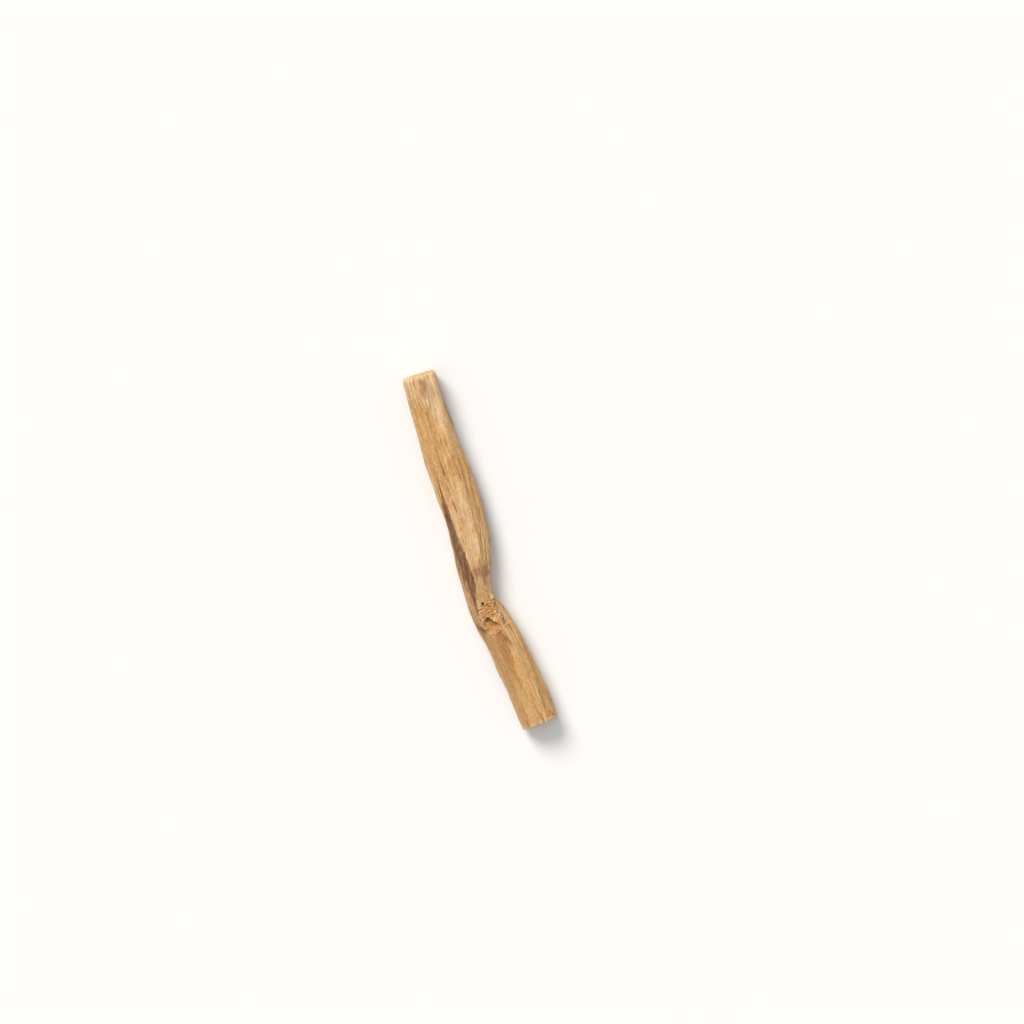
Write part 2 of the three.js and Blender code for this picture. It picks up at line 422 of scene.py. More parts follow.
@dataclass(frozen=True)
class TornKnot:
    """The knot, torn out of the upper side: a hollow, ragged fibre round it, a broken shoulder.

    Its places are a station and a sideways place, apart from the nick's, which is a station and an
    angle in degrees.
    """

    torn_edge: Points = (
        (31.03, 5.69), (31.83, 5.35), (32.47, 4.55), (32.6, 3.59), (31.7, 2.98), (30.94, 2.44),
        (30.59, 1.76), (29.49, 1.22), (28.46, 0.89),
    )
    low_edge: Points = (
        (28.12, 1.23), (27.86, 2.47), (27.56, 3.26), (27.7, 4.36), (28.36, 5.28), (29.23, 5.78),
        (30.19, 5.91),
    )
    wall: float = 0.3
    floor_depth: tuple[float, float] = (0.7, 2.1)
    floor_run: float = 2.9
    pocket_at: tuple[float, float] = (31.4, 4.7)
    pocket_reach: float = 0.75
    pocket_depth: float = 0.6
    middle: tuple[float, float] = (29.85, 3.3)
    uphill_turn: float = 40
    overhang: float = 0.34
    overhang_from: tuple[float, float] = (0.2, 1.2)
    overhang_at: float = -0.2
    overhang_breadth: float = 0.28
    bed_at: tuple[float, float] = (33.4, 3.1)
    bed_half_along: float = 2.6
    bed_half_across: float = 3.3
    bed_rim: tuple[float, float] = (0.7, 1.1)
    bed_depth: float = 0.45
    curls: Sequence[Curl] = (
        Curl((
            (40.5, 1.6), (38.9, 1.45), (37.9, 1.05), (37.1, 1.1), (36.6, 1.2), (36.6, 1.85),
        ), 0.42, 0.22, 0.2),
        Curl((
            (36.0, 2.2), (35.5, 1.8), (34.3, 0.95), (33.4, 0.55), (32.4, 0.25), (31.4, 0.1),
            (31.0, 0.55),
        ), 0.5, 0.24),
        Curl(((36.1, 2.9), (35.6, 3.4), (35.45, 4.1), (35.1, 4.7), (35.2, 5.4)), 0.42, 0.19),
        Curl(((35.2, 3.4), (34.9, 4.0), (34.45, 4.6), (34.3, 5.3), (33.85, 5.9)), 0.52, 0.19),
        Curl(((34.5, 3.5), (34.2, 4.2), (33.8, 4.7), (33.65, 5.4), (33.2, 6.05)), 0.52, 0.19),
        Curl(((33.7, 4.3), (33.15, 4.9), (33.0, 5.5), (32.5, 6.15)), 0.52, 0.19),
        Curl(((32.3, 5.2), (31.75, 5.7), (31.5, 6.1), (30.9, 6.2), (30.6, 6.55)), 0.42, 0.2),
        Curl((
            (34.4, 3.55), (35.05, 3.2), (35.3, 2.6), (35.4, 1.95), (34.85, 1.5), (34.1, 1.45),
        ), 0.55, 0.21),
        Curl((
            (34.6, 2.5), (33.9, 2.2), (33.5, 2.7), (32.9, 2.55), (32.75, 1.9), (33.2, 1.5),
        ), 0.5, 0.19),
        Curl(((33.9, 1.1), (33.1, 1.15), (32.5, 1.3), (31.9, 1.05), (31.8, 0.55)), 0.5, 0.2),
        Curl((
            (32.75, 3.5), (32.1, 3.2), (31.6, 2.85), (31.0, 2.5), (31.4, 1.95), (32.2, 1.25),
        ), 0.62, 0.22, 0.2),
        Curl((
            (30.2, 6.0), (29.2, 5.9), (28.3, 5.3), (27.6, 4.4), (27.45, 3.3), (27.75, 2.4),
            (28.1, 1.2),
        ), 0.36, 0.24, 0.0),
        Curl(((30.1, 5.9), (29.7, 6.3), (29.2, 6.4)), 0.35, 0.19),
        Curl(((28.9, 5.6), (28.3, 5.8), (28.1, 6.3)), 0.35, 0.19),
        Curl(((28.5, 0.8), (28.9, -0.2), (28.9, -1.2)), 0.26, 0.25, 0.0),
        Curl(((28.1, 1.0), (26.5, 0.45), (25.0, 0.0), (23.6, -0.4)), 0.3, 0.28, 0.0),
    )
    shoulder_step: float = 29.1
    shoulder_edge: Points = ((29, 0.5), (33, 0.2), (35, 0.9), (37, 0.9), (41, 0.9))
    shoulder_slope: tuple[float, float] = (-0.15, 0.6)
    shoulder_run_in: float = 0.25
    shoulder_fades: tuple[float, float] = (38, 45)
    shoulder_depth: float = 0.95
    scoop_station: float = 25.7
    scoop_length: float = 2.1
    scoop_edge: tuple[tuple[float, float], tuple[float, float]] = ((24.2, -0.2), (28.3, 0.9))
    scoop_slope: tuple[float, float] = (-0.05, 0.6)
    scoop_width: float = 2.1
    scoop_depth: float = 0.6
    ragged: float = 0.2
    crinkle: float = 0.2
    spoke_height: float = 0.12
    spokes_round: float = 6
    nick_at: tuple[float, float] = (28.8, 32)
    nick_reach: float = 1.0
    nick_spread: float = 20
    nick_deepest: float = 0.9

    def hollow(self, station: Array, sideways: Array) -> tuple[Array, Array]:
        """Gives the hollow, steep below its torn edge and rising slowly to its lower edge.

        Args:
            station: the places' stations.
            sideways: the places' sideways offsets.

        Returns:
            How far inside the hollow's rim the places lie, negative outside it, and the depth.
        """
        inside = inside_loop((*self.torn_edge, *self.low_edge), station, sideways)
        from_low, _ = near_path(self.low_edge, station, sideways)
        shallow, deep = self.floor_depth
        floor = shallow + (deep - shallow) * smooth(from_low, 0, self.floor_run)
        pocket = np.hypot(station - self.pocket_at[0], sideways - self.pocket_at[1])
        floor += self.pocket_depth * bell(pocket, self.pocket_reach)
        return inside, floor * smooth(inside, 0, self.wall)

    def uphill(self, station: Array, sideways: Array) -> Array:
        """Gives how far places lie from the hollow's middle towards its torn edge.

        Args:
            station: the places' stations.
            sideways: the places' sideways offsets.

        Returns:
            Distances in millimetres.
        """
        turn = math.radians(self.uphill_turn)
        ahead, aside = station - self.middle[0], sideways - self.middle[1]
        return ahead * math.cos(turn) - aside * math.sin(turn)

    def bed(self, station: Array, sideways: Array) -> Array:
        """Tells how much places lie in the shallow bed of torn fibre.

        Args:
            station: the places' stations.
            sideways: the places' sideways offsets.

        Returns:
            1 in the bed, 0 outside it.
        """
        a = (station - self.bed_at[0]) / self.bed_half_along
        b = (sideways - self.bed_at[1]) / self.bed_half_across
        return 1 - smooth(np.hypot(a, b), *self.bed_rim)

    def shoulder(self, station: Array, sideways: Array) -> Array:
        """Tells how much places lie on the broken shoulder.

        Args:
            station: the places' stations.
            sideways: the places' sideways offsets.

        Returns:
            1 on the shoulder, 0 off it.
        """
        beyond = smooth(along(self.shoulder_edge, station) - sideways, *self.shoulder_slope)
        step, run_in = self.shoulder_step, self.shoulder_run_in
        starts = smooth(station, step - run_in, step + run_in)
        return beyond * starts * (1 - smooth(station, *self.shoulder_fades))

    def scoop(self, station: Array, sideways: Array) -> Array:
        """Gives the depth of the scoop below the hollow's lip.

        Args:
            station: the places' stations.
            sideways: the places' sideways offsets.

        Returns:
            Depths in millimetres.
        """
        (s0, y0), (s1, y1) = self.scoop_edge
        inward = sideways - y0 - (station - s0) * (y1 - y0) / (s1 - s0)
        fade = bell(station - self.scoop_station, self.scoop_length)
        fade *= bell(inward, self.scoop_width)
        return self.scoop_depth * smooth(inward, *self.scoop_slope) * fade

    def curl_relief(self, station: Array, sideways: Array, uneven: Array) -> tuple[Array, Array]:
        """Gives the curled ridges of torn fibre and the trenches beside them.

        Args:
            station: the places' stations.
            sideways: the places' sideways offsets.
            uneven: a factor on the ridges' heights.

        Returns:
            The ridges' heights and the trenches' depths, in millimetres.
        """
        curled = np.zeros(np.shape(station))
        trenched = np.zeros(np.shape(station))
        for curl in self.curls:
            away, _ = near_path(curl.path, station, sideways)
            curled = np.maximum(curled, curl.height * uneven * bell(away, curl.width))
            beside = bell(away - curl.trench_away * curl.width, curl.trench_breadth * curl.width)
            trenched = np.maximum(trenched, curl.trench * curl.height * beside)
        return curled, trenched

    def relief(self, station: Array, sideways: Array) -> tuple[Array, Array, Array]:
        """Gives what the torn knot adds to the upper side.

        Args:
            station: the places' stations.
            sideways: the places' sideways offsets.

        Returns:
            Heights in millimetres, how torn each place is, and its painted light and shade: paler
            on the crests, darker in the trenches and the hollow.
        """
        s = station + self.ragged * PatchNoise(31, 0.7).at(station, sideways)
        y = sideways + self.ragged * PatchNoise(32, 0.7).at(station, sideways)
        depth_inside, sunk = self.hollow(s, y)
        bed = self.bed(station, sideways)
        uneven = 0.64 + 0.42 * PatchNoise(36, 0.6).at(station, sideways)
        curled, trenched = self.curl_relief(s, y, uneven)
        inside = smooth(depth_inside, 0, 0.4)
        torn = np.clip(np.maximum(bed, 0.8 * inside) + 1.5 * curled, 0, 1)
        fold = PatchNoise(33, 0.5).at(s * 1.4, y) + 0.5 * PatchNoise(34, 0.27).at(s * 1.2, y)
        crinkle = self.crinkle * torn * (0.5 - np.abs(fold))
        bearing = np.arctan2(y - self.middle[1], s - self.middle[0]) * self.spokes_round
        reach = np.hypot(y - self.middle[1], s - self.middle[0])
        spokes = self.spoke_height * inside * PatchNoise(35, 0.8).at(bearing, reach * 0.5)
        floor = np.maximum(sunk, self.bed_depth * bed + trenched)
        height = curled * (1 - inside) + crinkle * (1 - 0.4 * inside) + spokes - floor
        height -= self.shoulder_depth * self.shoulder(s, y) + self.scoop(s, y)
        # painted highlight on the crests, painted shade in the trenches beside them and in the
        # hollow
        crest_light_and_shade = 0.4 + 1.4 * curled * (1 - inside) - 2.2 * trenched + 2.0 * crinkle - 0.25 * inside
        return height, torn, np.clip(crest_light_and_shade, 0, 1)

    def nick_depth(self, station: Array, angle: Array) -> Array:
        """Gives the nick in the side next to the hollow.

        Args:
            station: the places' stations.
            angle: the places' angles, in radians.

        Returns:
            Depths in millimetres.
        """
        at, facing = self.nick_at
        turned = turn_between(angle, math.radians(facing))
        depth = self.nick_deepest * bell(station - at, self.nick_reach)
        return depth * bell(turned, math.radians(self.nick_spread))


@dataclass(frozen=True)
class DryingCrack:
    """A crack that runs in from a sawn end, at an angle in degrees."""

    angle: float
    length: float
    depth: float
    upper: bool


@dataclass(frozen=True)
class SplitRelief:
    """The fine relief of split wood: slivers, fibre, vessel grooves, cracks, the borer's hole.

    A layer of slivers has its seed, its count round the stick, the length of its cells, the level
    of noise at which it starts and its height.
    """

    fibre: float = 0.045
    groove: float = 0.09
    slivers: Sequence[tuple[int, int, float, float, float]] = (
        (51, 8, 38, 0.12, 0.24), (61, 13, 22, 0.22, 0.17), (71, 23, 15, 0.28, 0.11),
        (76, 37, 9, 0.34, 0.08),
    )
    crack_width: float = 0.11
    cracks: Sequence[DryingCrack] = (
        DryingCrack(72, 5.5, 0.5, True), DryingCrack(118, 3.0, 0.4, True),
        DryingCrack(161, 6.5, 0.6, True), DryingCrack(232, 5.0, 0.5, True),
        DryingCrack(301, 4.0, 0.4, True), DryingCrack(20, 3.5, 0.35, True),
        DryingCrack(48, 4.5, 0.5, False), DryingCrack(101, 6.0, 0.5, False),
        DryingCrack(152, 3.0, 0.4, False), DryingCrack(214, 5.5, 0.5, False),
        DryingCrack(287, 4.0, 0.4, False),
    )
    hole_at: tuple[float, float] = (36.2, 3.95)
    hole_radius: float = 0.36
    hole_narrowing: float = 1.15
    hole_depth: float = 1.3

    def fibre_height(self, station: Array, angle: Array) -> Array:
        """Gives the height of the split fibre.

        Args:
            station: the places' stations.
            angle: the places' angles in radians, as bent by the grain.

        Returns:
            Heights in millimetres.
        """
        coarse = GrainNoise(11, 60, 11).at(station, angle)
        fine = GrainNoise(12, 120, 5).at(station, angle)
        height = self.fibre * (coarse + 0.8 * fine)
        for seed, count, cell, level, tall in self.slivers:
            broad = GrainNoise(seed, count, cell).at(station, angle)
            ragged = 0.2 * GrainNoise(seed + 1, 6 * count, cell / 6).at(station, angle)
            height += tall * (smooth(broad + ragged, level, level + 0.08) - 0.4)
        vessels = GrainNoise(13, 120, 2.2).at(station, angle)
        return height - self.groove * smooth(vessels, 0.45, 0.8)

    def crack_depth(
        self, station: Array, angle: Array, length: float, reach: Array, width: float
    ) -> Array:
        """Gives the depth of the drying cracks.

        Args:
            station: the places' stations.
            angle: the places' angles, in radians.
            length: the stick's length.
            reach: how far the places lie from the middle line.
            width: the cracks' width.

        Returns:
            Depths in millimetres.
        """
        depth = np.zeros(np.shape(station))
        for crack in self.cracks:
            inland = length - station if crack.upper else station
            crooked = 0.05 * np.sin(inland * 1.1 + crack.angle) + 0.02 * np.sin(inland * 3.1)
            crooked = crooked + 0.07 * np.sin(reach * 1.9 + crack.angle)
            crooked = crooked + 0.02 * np.sin(reach * 5.7)
            away = turn_between(angle, math.radians(crack.angle) + crooked) * reach
            narrows = 1 - smooth(inland, 0.2 * crack.length, crack.length)
            depth = np.maximum(depth, crack.depth * narrows * bell(away, width))
        return depth

    def hole_mask(self, station: Array, sideways: Array) -> Array:
        """Tells which places lie in the borer's hole.

        Args:
            station: the places' stations.
            sideways: the places' sideways offsets.

        Returns:
            1 in the hole, 0 outside it.
        """
        aside = (sideways - self.hole_at[1]) * self.hole_narrowing
        away = np.hypot(station - self.hole_at[0], aside)
        return 1 - smooth(away, 0.75 * self.hole_radius, 1.2 * self.hole_radius)


class Tint(Enum):
    """A colour that marks the wood: its column among the marks."""

    RESIN = 0
    # dark heartwood, and the painted shade in the borer's hole, at the nick and right of the hollow
    DARK = 1
    VIOLET = 2
    # pale wood, and the painted highlights round the sawn ends' rims and on two ridges
    PALE = 3


@dataclass(frozen=True)
class Marking:
    """A streak or patch of colour along a path of station, sideways place and half width.

    One that goes round the stick has angles in degrees in place of the sideways places.
    """

    tint: Tint
    path: Path
    strength: float
    softness: float = 0.35
    ragged: float = 0.35
    round_stick: bool = False


MARKINGS = (
    # the dark stripe on the side that the stick bows to, down to the torn knot, its stains, and
    # painted shade at the nick beside the hollow
    Marking(Tint.DARK, (
        (75, 4.8, 0.1), (70, 5.0, 0.4), (66, 5.2, 0.6), (62, 5.35, 0.8), (57.7, 5.7, 0.9),
        (54.8, 5.95, 1.05), (51, 6.15, 1.25), (46.2, 5.75, 1.35), (43.3, 5.5, 1.1),
        (40.4, 5.6, 0.95), (38, 5.75, 0.7), (35.8, 5.95, 0.45), (34, 6.1, 0.1),
    ), 0.88, 0.75, 0.5),
    Marking(Tint.DARK, (
        (53, 4.9, 0.1), (48, 4.6, 0.3), (44.3, 4.3, 0.35), (41.5, 4.4, 0.3), (37.5, 5.2, 0.1),
    ), 0.95, 0.5),
    Marking(Tint.DARK, (
        (58, 6.6, 0.1), (53, 6.9, 0.3), (48, 7.3, 0.5), (44, 7.0, 0.4), (40, 6.5, 0.25),
        (36, 6.4, 0.1),
    ), 0.66, 0.6),
    Marking(Tint.DARK, (
        (80, 5.0, 0.1), (70, 4.9, 0.6), (60, 5.1, 1.0), (52, 5.3, 1.2), (46, 5.0, 1.0),
    ), 0.4, 1.0, 0.6),
    Marking(Tint.VIOLET, (
        (64, 5.2, 0.3), (50, 5.8, 1.0), (44.7, 5.7, 1.1), (38, 5.8, 0.7), (35, 6.0, 0.2),
    ), 0.5, 0.7),
    Marking(Tint.VIOLET, (
        (46, 7.4, 0.6), (40, 7.3, 0.8), (34, 7.4, 0.9), (29, 7.3, 0.8), (24, 6.4, 0.4),
    ), 0.6, 0.8),
    Marking(Tint.DARK, ((48.7, 7.05, 0.3), (46.4, 7.3, 0.3)), 0.8, 0.4),
    # darker at the nick beside the hollow: painted shade
    Marking(Tint.DARK, ((31.8, 7.2, 0.2), (29.4, 7.5, 0.5), (27.0, 6.7, 0.35)), 0.55, 0.7),
    Marking(Tint.DARK, (
        (98, 4.4, 0.6), (93, 4.6, 1.0), (88, 4.7, 0.7), (83, 4.9, 0.3),
    ), 0.42, 1.0, 0.6),
    # thin brown lines in the golden wood
    Marking(Tint.DARK, (
        (78.5, 2.35, 0.08), (76.2, 2.3, 0.3), (73.1, 2.36, 0.5), (70.3, 2.05, 0.2),
    ), 1.0, 0.4),
    Marking(Tint.DARK, ((84.6, 1.85, 0.06), (79.8, 2.03, 0.22), (76.8, 2.0, 0.1)), 0.62, 0.35),
    Marking(Tint.DARK, ((66.5, 2.9, 0.08), (63.7, 2.45, 0.26), (61.2, 2.2, 0.08)), 0.66, 0.4),
    Marking(Tint.DARK, ((60.5, 1.9, 0.08), (58.5, 1.7, 0.22), (57.5, 1.6, 0.08)), 0.62, 0.35),
    Marking(Tint.DARK, (
        (72, 4.4, 0.1), (70, 4.65, 0.4), (68, 4.8, 0.3), (66.5, 5.2, 0.2),
    ), 0.7, 0.5),
    Marking(Tint.DARK, ((70.5, 2.7, 0.08), (68, 2.66, 0.28), (66.8, 2.7, 0.08)), 0.7, 0.4),
    Marking(Tint.DARK, ((92, 3.6, 0.08), (88, 4.15, 0.2), (84.4, 4.6, 0.12)), 0.5, 0.45),
    Marking(Tint.DARK, ((91.2, 1.4, 0.06), (88.2, 1.44, 0.18), (85.2, 1.45, 0.08)), 0.5, 0.35),
    Marking(Tint.DARK, ((88, -0.05, 0.06), (82, 0.13, 0.18), (78.4, 0.07, 0.08)), 0.55, 0.35),
    Marking(Tint.DARK, ((99.3, 0.45, 0.2), (96.5, 0.1, 0.12)), 0.6, 0.35),
    Marking(Tint.DARK, ((48.0, 2.9, 0.1), (45.0, 3.0, 0.25), (42.5, 3.1, 0.1)), 0.6, 0.5),
    # the golden wood and its orange, resin-soaked stretch, and painted shade right of the hollow
    Marking(Tint.RESIN, (
        (94.5, 2.4, 1.2), (89, 2.3, 2.6), (80, 2.6, 3.2), (72, 3.4, 2.8), (65, 4.4, 1.2),
    ), 0.6, 1.3),
    Marking(Tint.RESIN, (
        (93, 2.9, 0.1), (89, 3.1, 0.7), (85, 2.9, 0.9), (81, 2.6, 0.3),
    ), 0.76, 0.7, 0.6),
    Marking(Tint.RESIN, (
        (90, 1.0, 0.1), (86.5, 0.9, 0.6), (83, 0.9, 0.7), (77, 1.3, 0.6), (72, 1.7, 0.1),
    ), 0.76, 0.6, 0.6),
    Marking(Tint.RESIN, (
        (85, -1.2, 0.3), (79.5, -1.3, 1.0), (75, -1.3, 1.2), (71, -1.2, 0.9), (68.5, -1.1, 0.2),
    ), 0.62, 0.8),
    Marking(Tint.RESIN, (
        (77.5, -1.5, 0.2), (74.8, -1.4, 0.9), (71.8, -1.2, 0.85), (69.6, -1.1, 0.3),
    ), 1.0, 0.5, 0.6),
    Marking(Tint.DARK, (
        (75.8, -1.7, 0.1), (74.0, -1.6, 0.35), (71.8, -1.4, 0.35), (70.4, -1.3, 0.1),
    ), 0.42, 0.5, 0.6),
    Marking(Tint.RESIN, (
        (84, -3.0, 0.3), (78, -3.1, 0.9), (72, -3.3, 1.1), (66, -3.6, 0.9), (60, -3.8, 0.3),
    ), 0.6, 0.9),
    Marking(Tint.RESIN, (
        (49.2, 0.75, 0.05), (48.1, 0.95, 0.3), (46.6, 1.08, 0.45), (45.8, 1.1, 0.05),
    ), 1.0, 0.2, 0.1),
    Marking(Tint.DARK, ((48.0, 1.0, 0.1), (47.2, 1.05, 0.3), (46.4, 1.1, 0.1)), 0.72, 0.25, 0.1),
    Marking(Tint.RESIN, (
        (36, 2.5, 1.5), (30, 2.8, 3.0), (22, 1.8, 4.6), (10, 0.8, 5.0), (-1, 0, 5.0),
    ), 0.55, 1.6),
    Marking(Tint.RESIN, (
        (27.6, 2.6, 0.9), (25, 2.0, 2.2), (21, 2.6, 1.5), (15, 1.9, 0.9), (7, 0.6, 0.3),
    ), 1.0, 1.0),
    Marking(Tint.VIOLET, (
        (27.4, 2.4, 1.1), (25, 2.2, 1.8), (22.5, 2.7, 1.4), (19, 3.3, 0.9), (16, 2.0, 0.3),
    ), 0.5, 1.0),
    Marking(Tint.DARK, (
        (27.2, 2.2, 0.5), (25, 1.8, 1.0), (22.5, 2.2, 0.5), (19, 3.0, 0.2),
    ), 0.36, 1.0, 0.6),
    # darker in the scoop below the hollow's lip and on the broken shoulder beside it: painted shade
    Marking(Tint.DARK, (
        (27.6, 1.5, 0.2), (26, 1.2, 0.7), (24.4, 0.6, 0.8), (22.8, 0.1, 0.4), (21.6, -0.3, 0.1),
    ), 0.5, 0.6),
    Marking(Tint.DARK, (
        (33, 0.9, 0.3), (30.5, 0.9, 0.7), (28.5, 0.5, 0.5), (26, 0.2, 0.2),
    ), 0.5, 0.8),
    Marking(Tint.DARK, (
        (37, 0.3, 0.5), (34, -0.1, 0.9), (30, -0.8, 0.9), (26.5, -1.2, 0.4),
    ), 0.42, 1.0, 0.6),
    # purple-brown patches
    Marking(Tint.VIOLET, (
        (45.4, 3.0, 0.5), (44.8, 2.0, 1.1), (44.2, 1.0, 1.2), (43.7, 0.0, 0.4),
    ), 0.8, 0.8, 1.0),
    Marking(Tint.VIOLET, ((44.0, 1.4, 0.7), (42.2, 1.6, 0.6), (40.9, 1.7, 0.2)), 0.75, 0.7, 0.5),
    Marking(Tint.DARK, ((44.8, 2.2, 0.3), (44.2, 1.2, 0.8), (43.7, 0.5, 0.4)), 0.38, 0.8, 1.0),
    Marking(Tint.VIOLET, ((43.5, 3.0, 1.0), (40.5, 3.6, 1.6), (37.5, 3.4, 1.7)), 0.3, 1.2),
    Marking(Tint.VIOLET, (
        (30, 6.6, 0.8), (25, 5.6, 1.3), (19, 4.6, 1.3), (10, 4.0, 0.9), (-1, 3.4, 0.7),
    ), 0.5, 1.2),
    Marking(Tint.VIOLET, (
        (98.2, -0.3, 0.5), (96.2, -0.7, 1.6), (94.4, -0.9, 2.0), (92.2, -0.8, 0.8),
    ), 0.84, 1.3, 0.6),
    # pale wood: the middle of the upper face, lifted slivers, the nick beside the violet patch, and
    # painted highlights on two ridges
    Marking(Tint.PALE, (
        (68, 0.0, 0.4), (62, 0.4, 1.5), (56, 0.9, 1.6), (50, 1.5, 0.9), (48, 1.5, 0.3),
    ), 0.4, 1.2),
    # a thin pale line on the ridge right of the hollow: painted highlight
    Marking(Tint.PALE, (
        (28.3, 0.9, 0.1), (26.5, 0.3, 0.24), (25, -0.15, 0.24), (23.6, -0.55, 0.1),
    ), 0.6, 0.35, 0.2),
    Marking(Tint.PALE, (
        (99, -2.6, 1.0), (94, -2.6, 1.4), (88, -1.6, 0.9), (84, -1.2, 0.3),
    ), 0.6, 1.0),
    Marking(Tint.PALE, ((98.5, 3.2, 0.8), (95.5, 2.6, 1.0), (93.5, 2.6, 0.4)), 0.4, 0.8),
    # a thin pale line along a ridge near station 77: painted highlight
    Marking(Tint.PALE, (
        (79.6, 0.25, 0.05), (78.4, 0.38, 0.2), (75.4, 0.71, 0.16), (73.8, 0.85, 0.04),
    ), 1.0, 0.22, 0.15),
    Marking(Tint.PALE, ((94.3, 1.05, 0.05), (93.3, 1.13, 0.3), (92.0, 1.2, 0.05)), 1.0, 0.22, 0.15),
    Marking(Tint.PALE, ((93.8, 0.1, 0.05), (92.6, 0.2, 0.3), (91.4, 0.3, 0.05)), 1.0, 0.22, 0.15),
    Marking(Tint.PALE, (
        (44.7, -0.8, 0.05), (44.0, -0.9, 0.24), (43.2, -0.9, 0.05),
    ), 1.0, 0.25, 0.1),
    Marking(Tint.PALE, ((72.4, 1.0, 0.05), (70.2, 1.1, 0.2), (68.4, 1.3, 0.05)), 0.8, 0.3),
    Marking(Tint.PALE, ((55.5, -0.6, 0.05), (52.5, -0.2, 0.16), (49.5, 0.2, 0.05)), 0.7, 0.3),
    # streaks on the sides that face away
    Marking(Tint.DARK, (
        (101, 205, 0.7), (86, 208, 0.9), (74, 212, 0.5), (66, 213, 1.2), (57, 214, 0.7),
        (48, 210, 0.1),
    ), 0.85, 0.8, round_stick=True),
    Marking(Tint.VIOLET, (
        (101, 207, 1.4), (80, 210, 1.3), (64, 213, 1.8), (50, 211, 0.6),
    ), 0.5, 0.9, round_stick=True),
    Marking(Tint.DARK, (
        (46, 195, 0.1), (34, 201, 0.5), (20, 198, 0.4), (8, 200, 0.05),
    ), 0.7, 0.6, round_stick=True),
    Marking(Tint.DARK, (
        (34, 333, 0.05), (21, 329, 0.6), (17, 330, 1.1), (12, 331, 0.6), (-1, 328, 0.3),
    ), 0.8, 0.8, round_stick=True),
    Marking(Tint.DARK, ((98, 12, 0.05), (84, 8, 0.3), (68, 10, 0.05)), 0.55, 0.5, round_stick=True),
    Marking(Tint.DARK, (
        (70, 165, 0.05), (58, 168, 0.2), (50, 166, 0.05),
    ), 0.6, 0.4, round_stick=True),
    Marking(Tint.RESIN, (
        (101, 250, 1.6), (80, 246, 2.2), (62, 240, 1.5), (44, 244, 0.3),
    ), 0.7, 1.4, round_stick=True),
    Marking(Tint.RESIN, (
        (62, 168, 0.4), (45, 172, 1.2), (28, 170, 0.6),
    ), 0.6, 1.2, round_stick=True),
    Marking(Tint.RESIN, (
        (38, 300, 0.4), (16, 308, 2.0), (-1, 304, 1.4),
    ), 0.7, 1.4, round_stick=True),
    Marking(Tint.RESIN, (
        (94, 345, 0.4), (74, 350, 1.8), (50, 346, 0.4),
    ), 0.6, 1.4, round_stick=True),
)
MM_PER_DEGREE = 0.088  # round the stick's skin


class Region(Enum):
    """A finish of the stick's surface: its material slot."""

    SPLIT = 0
    SAWN = 1


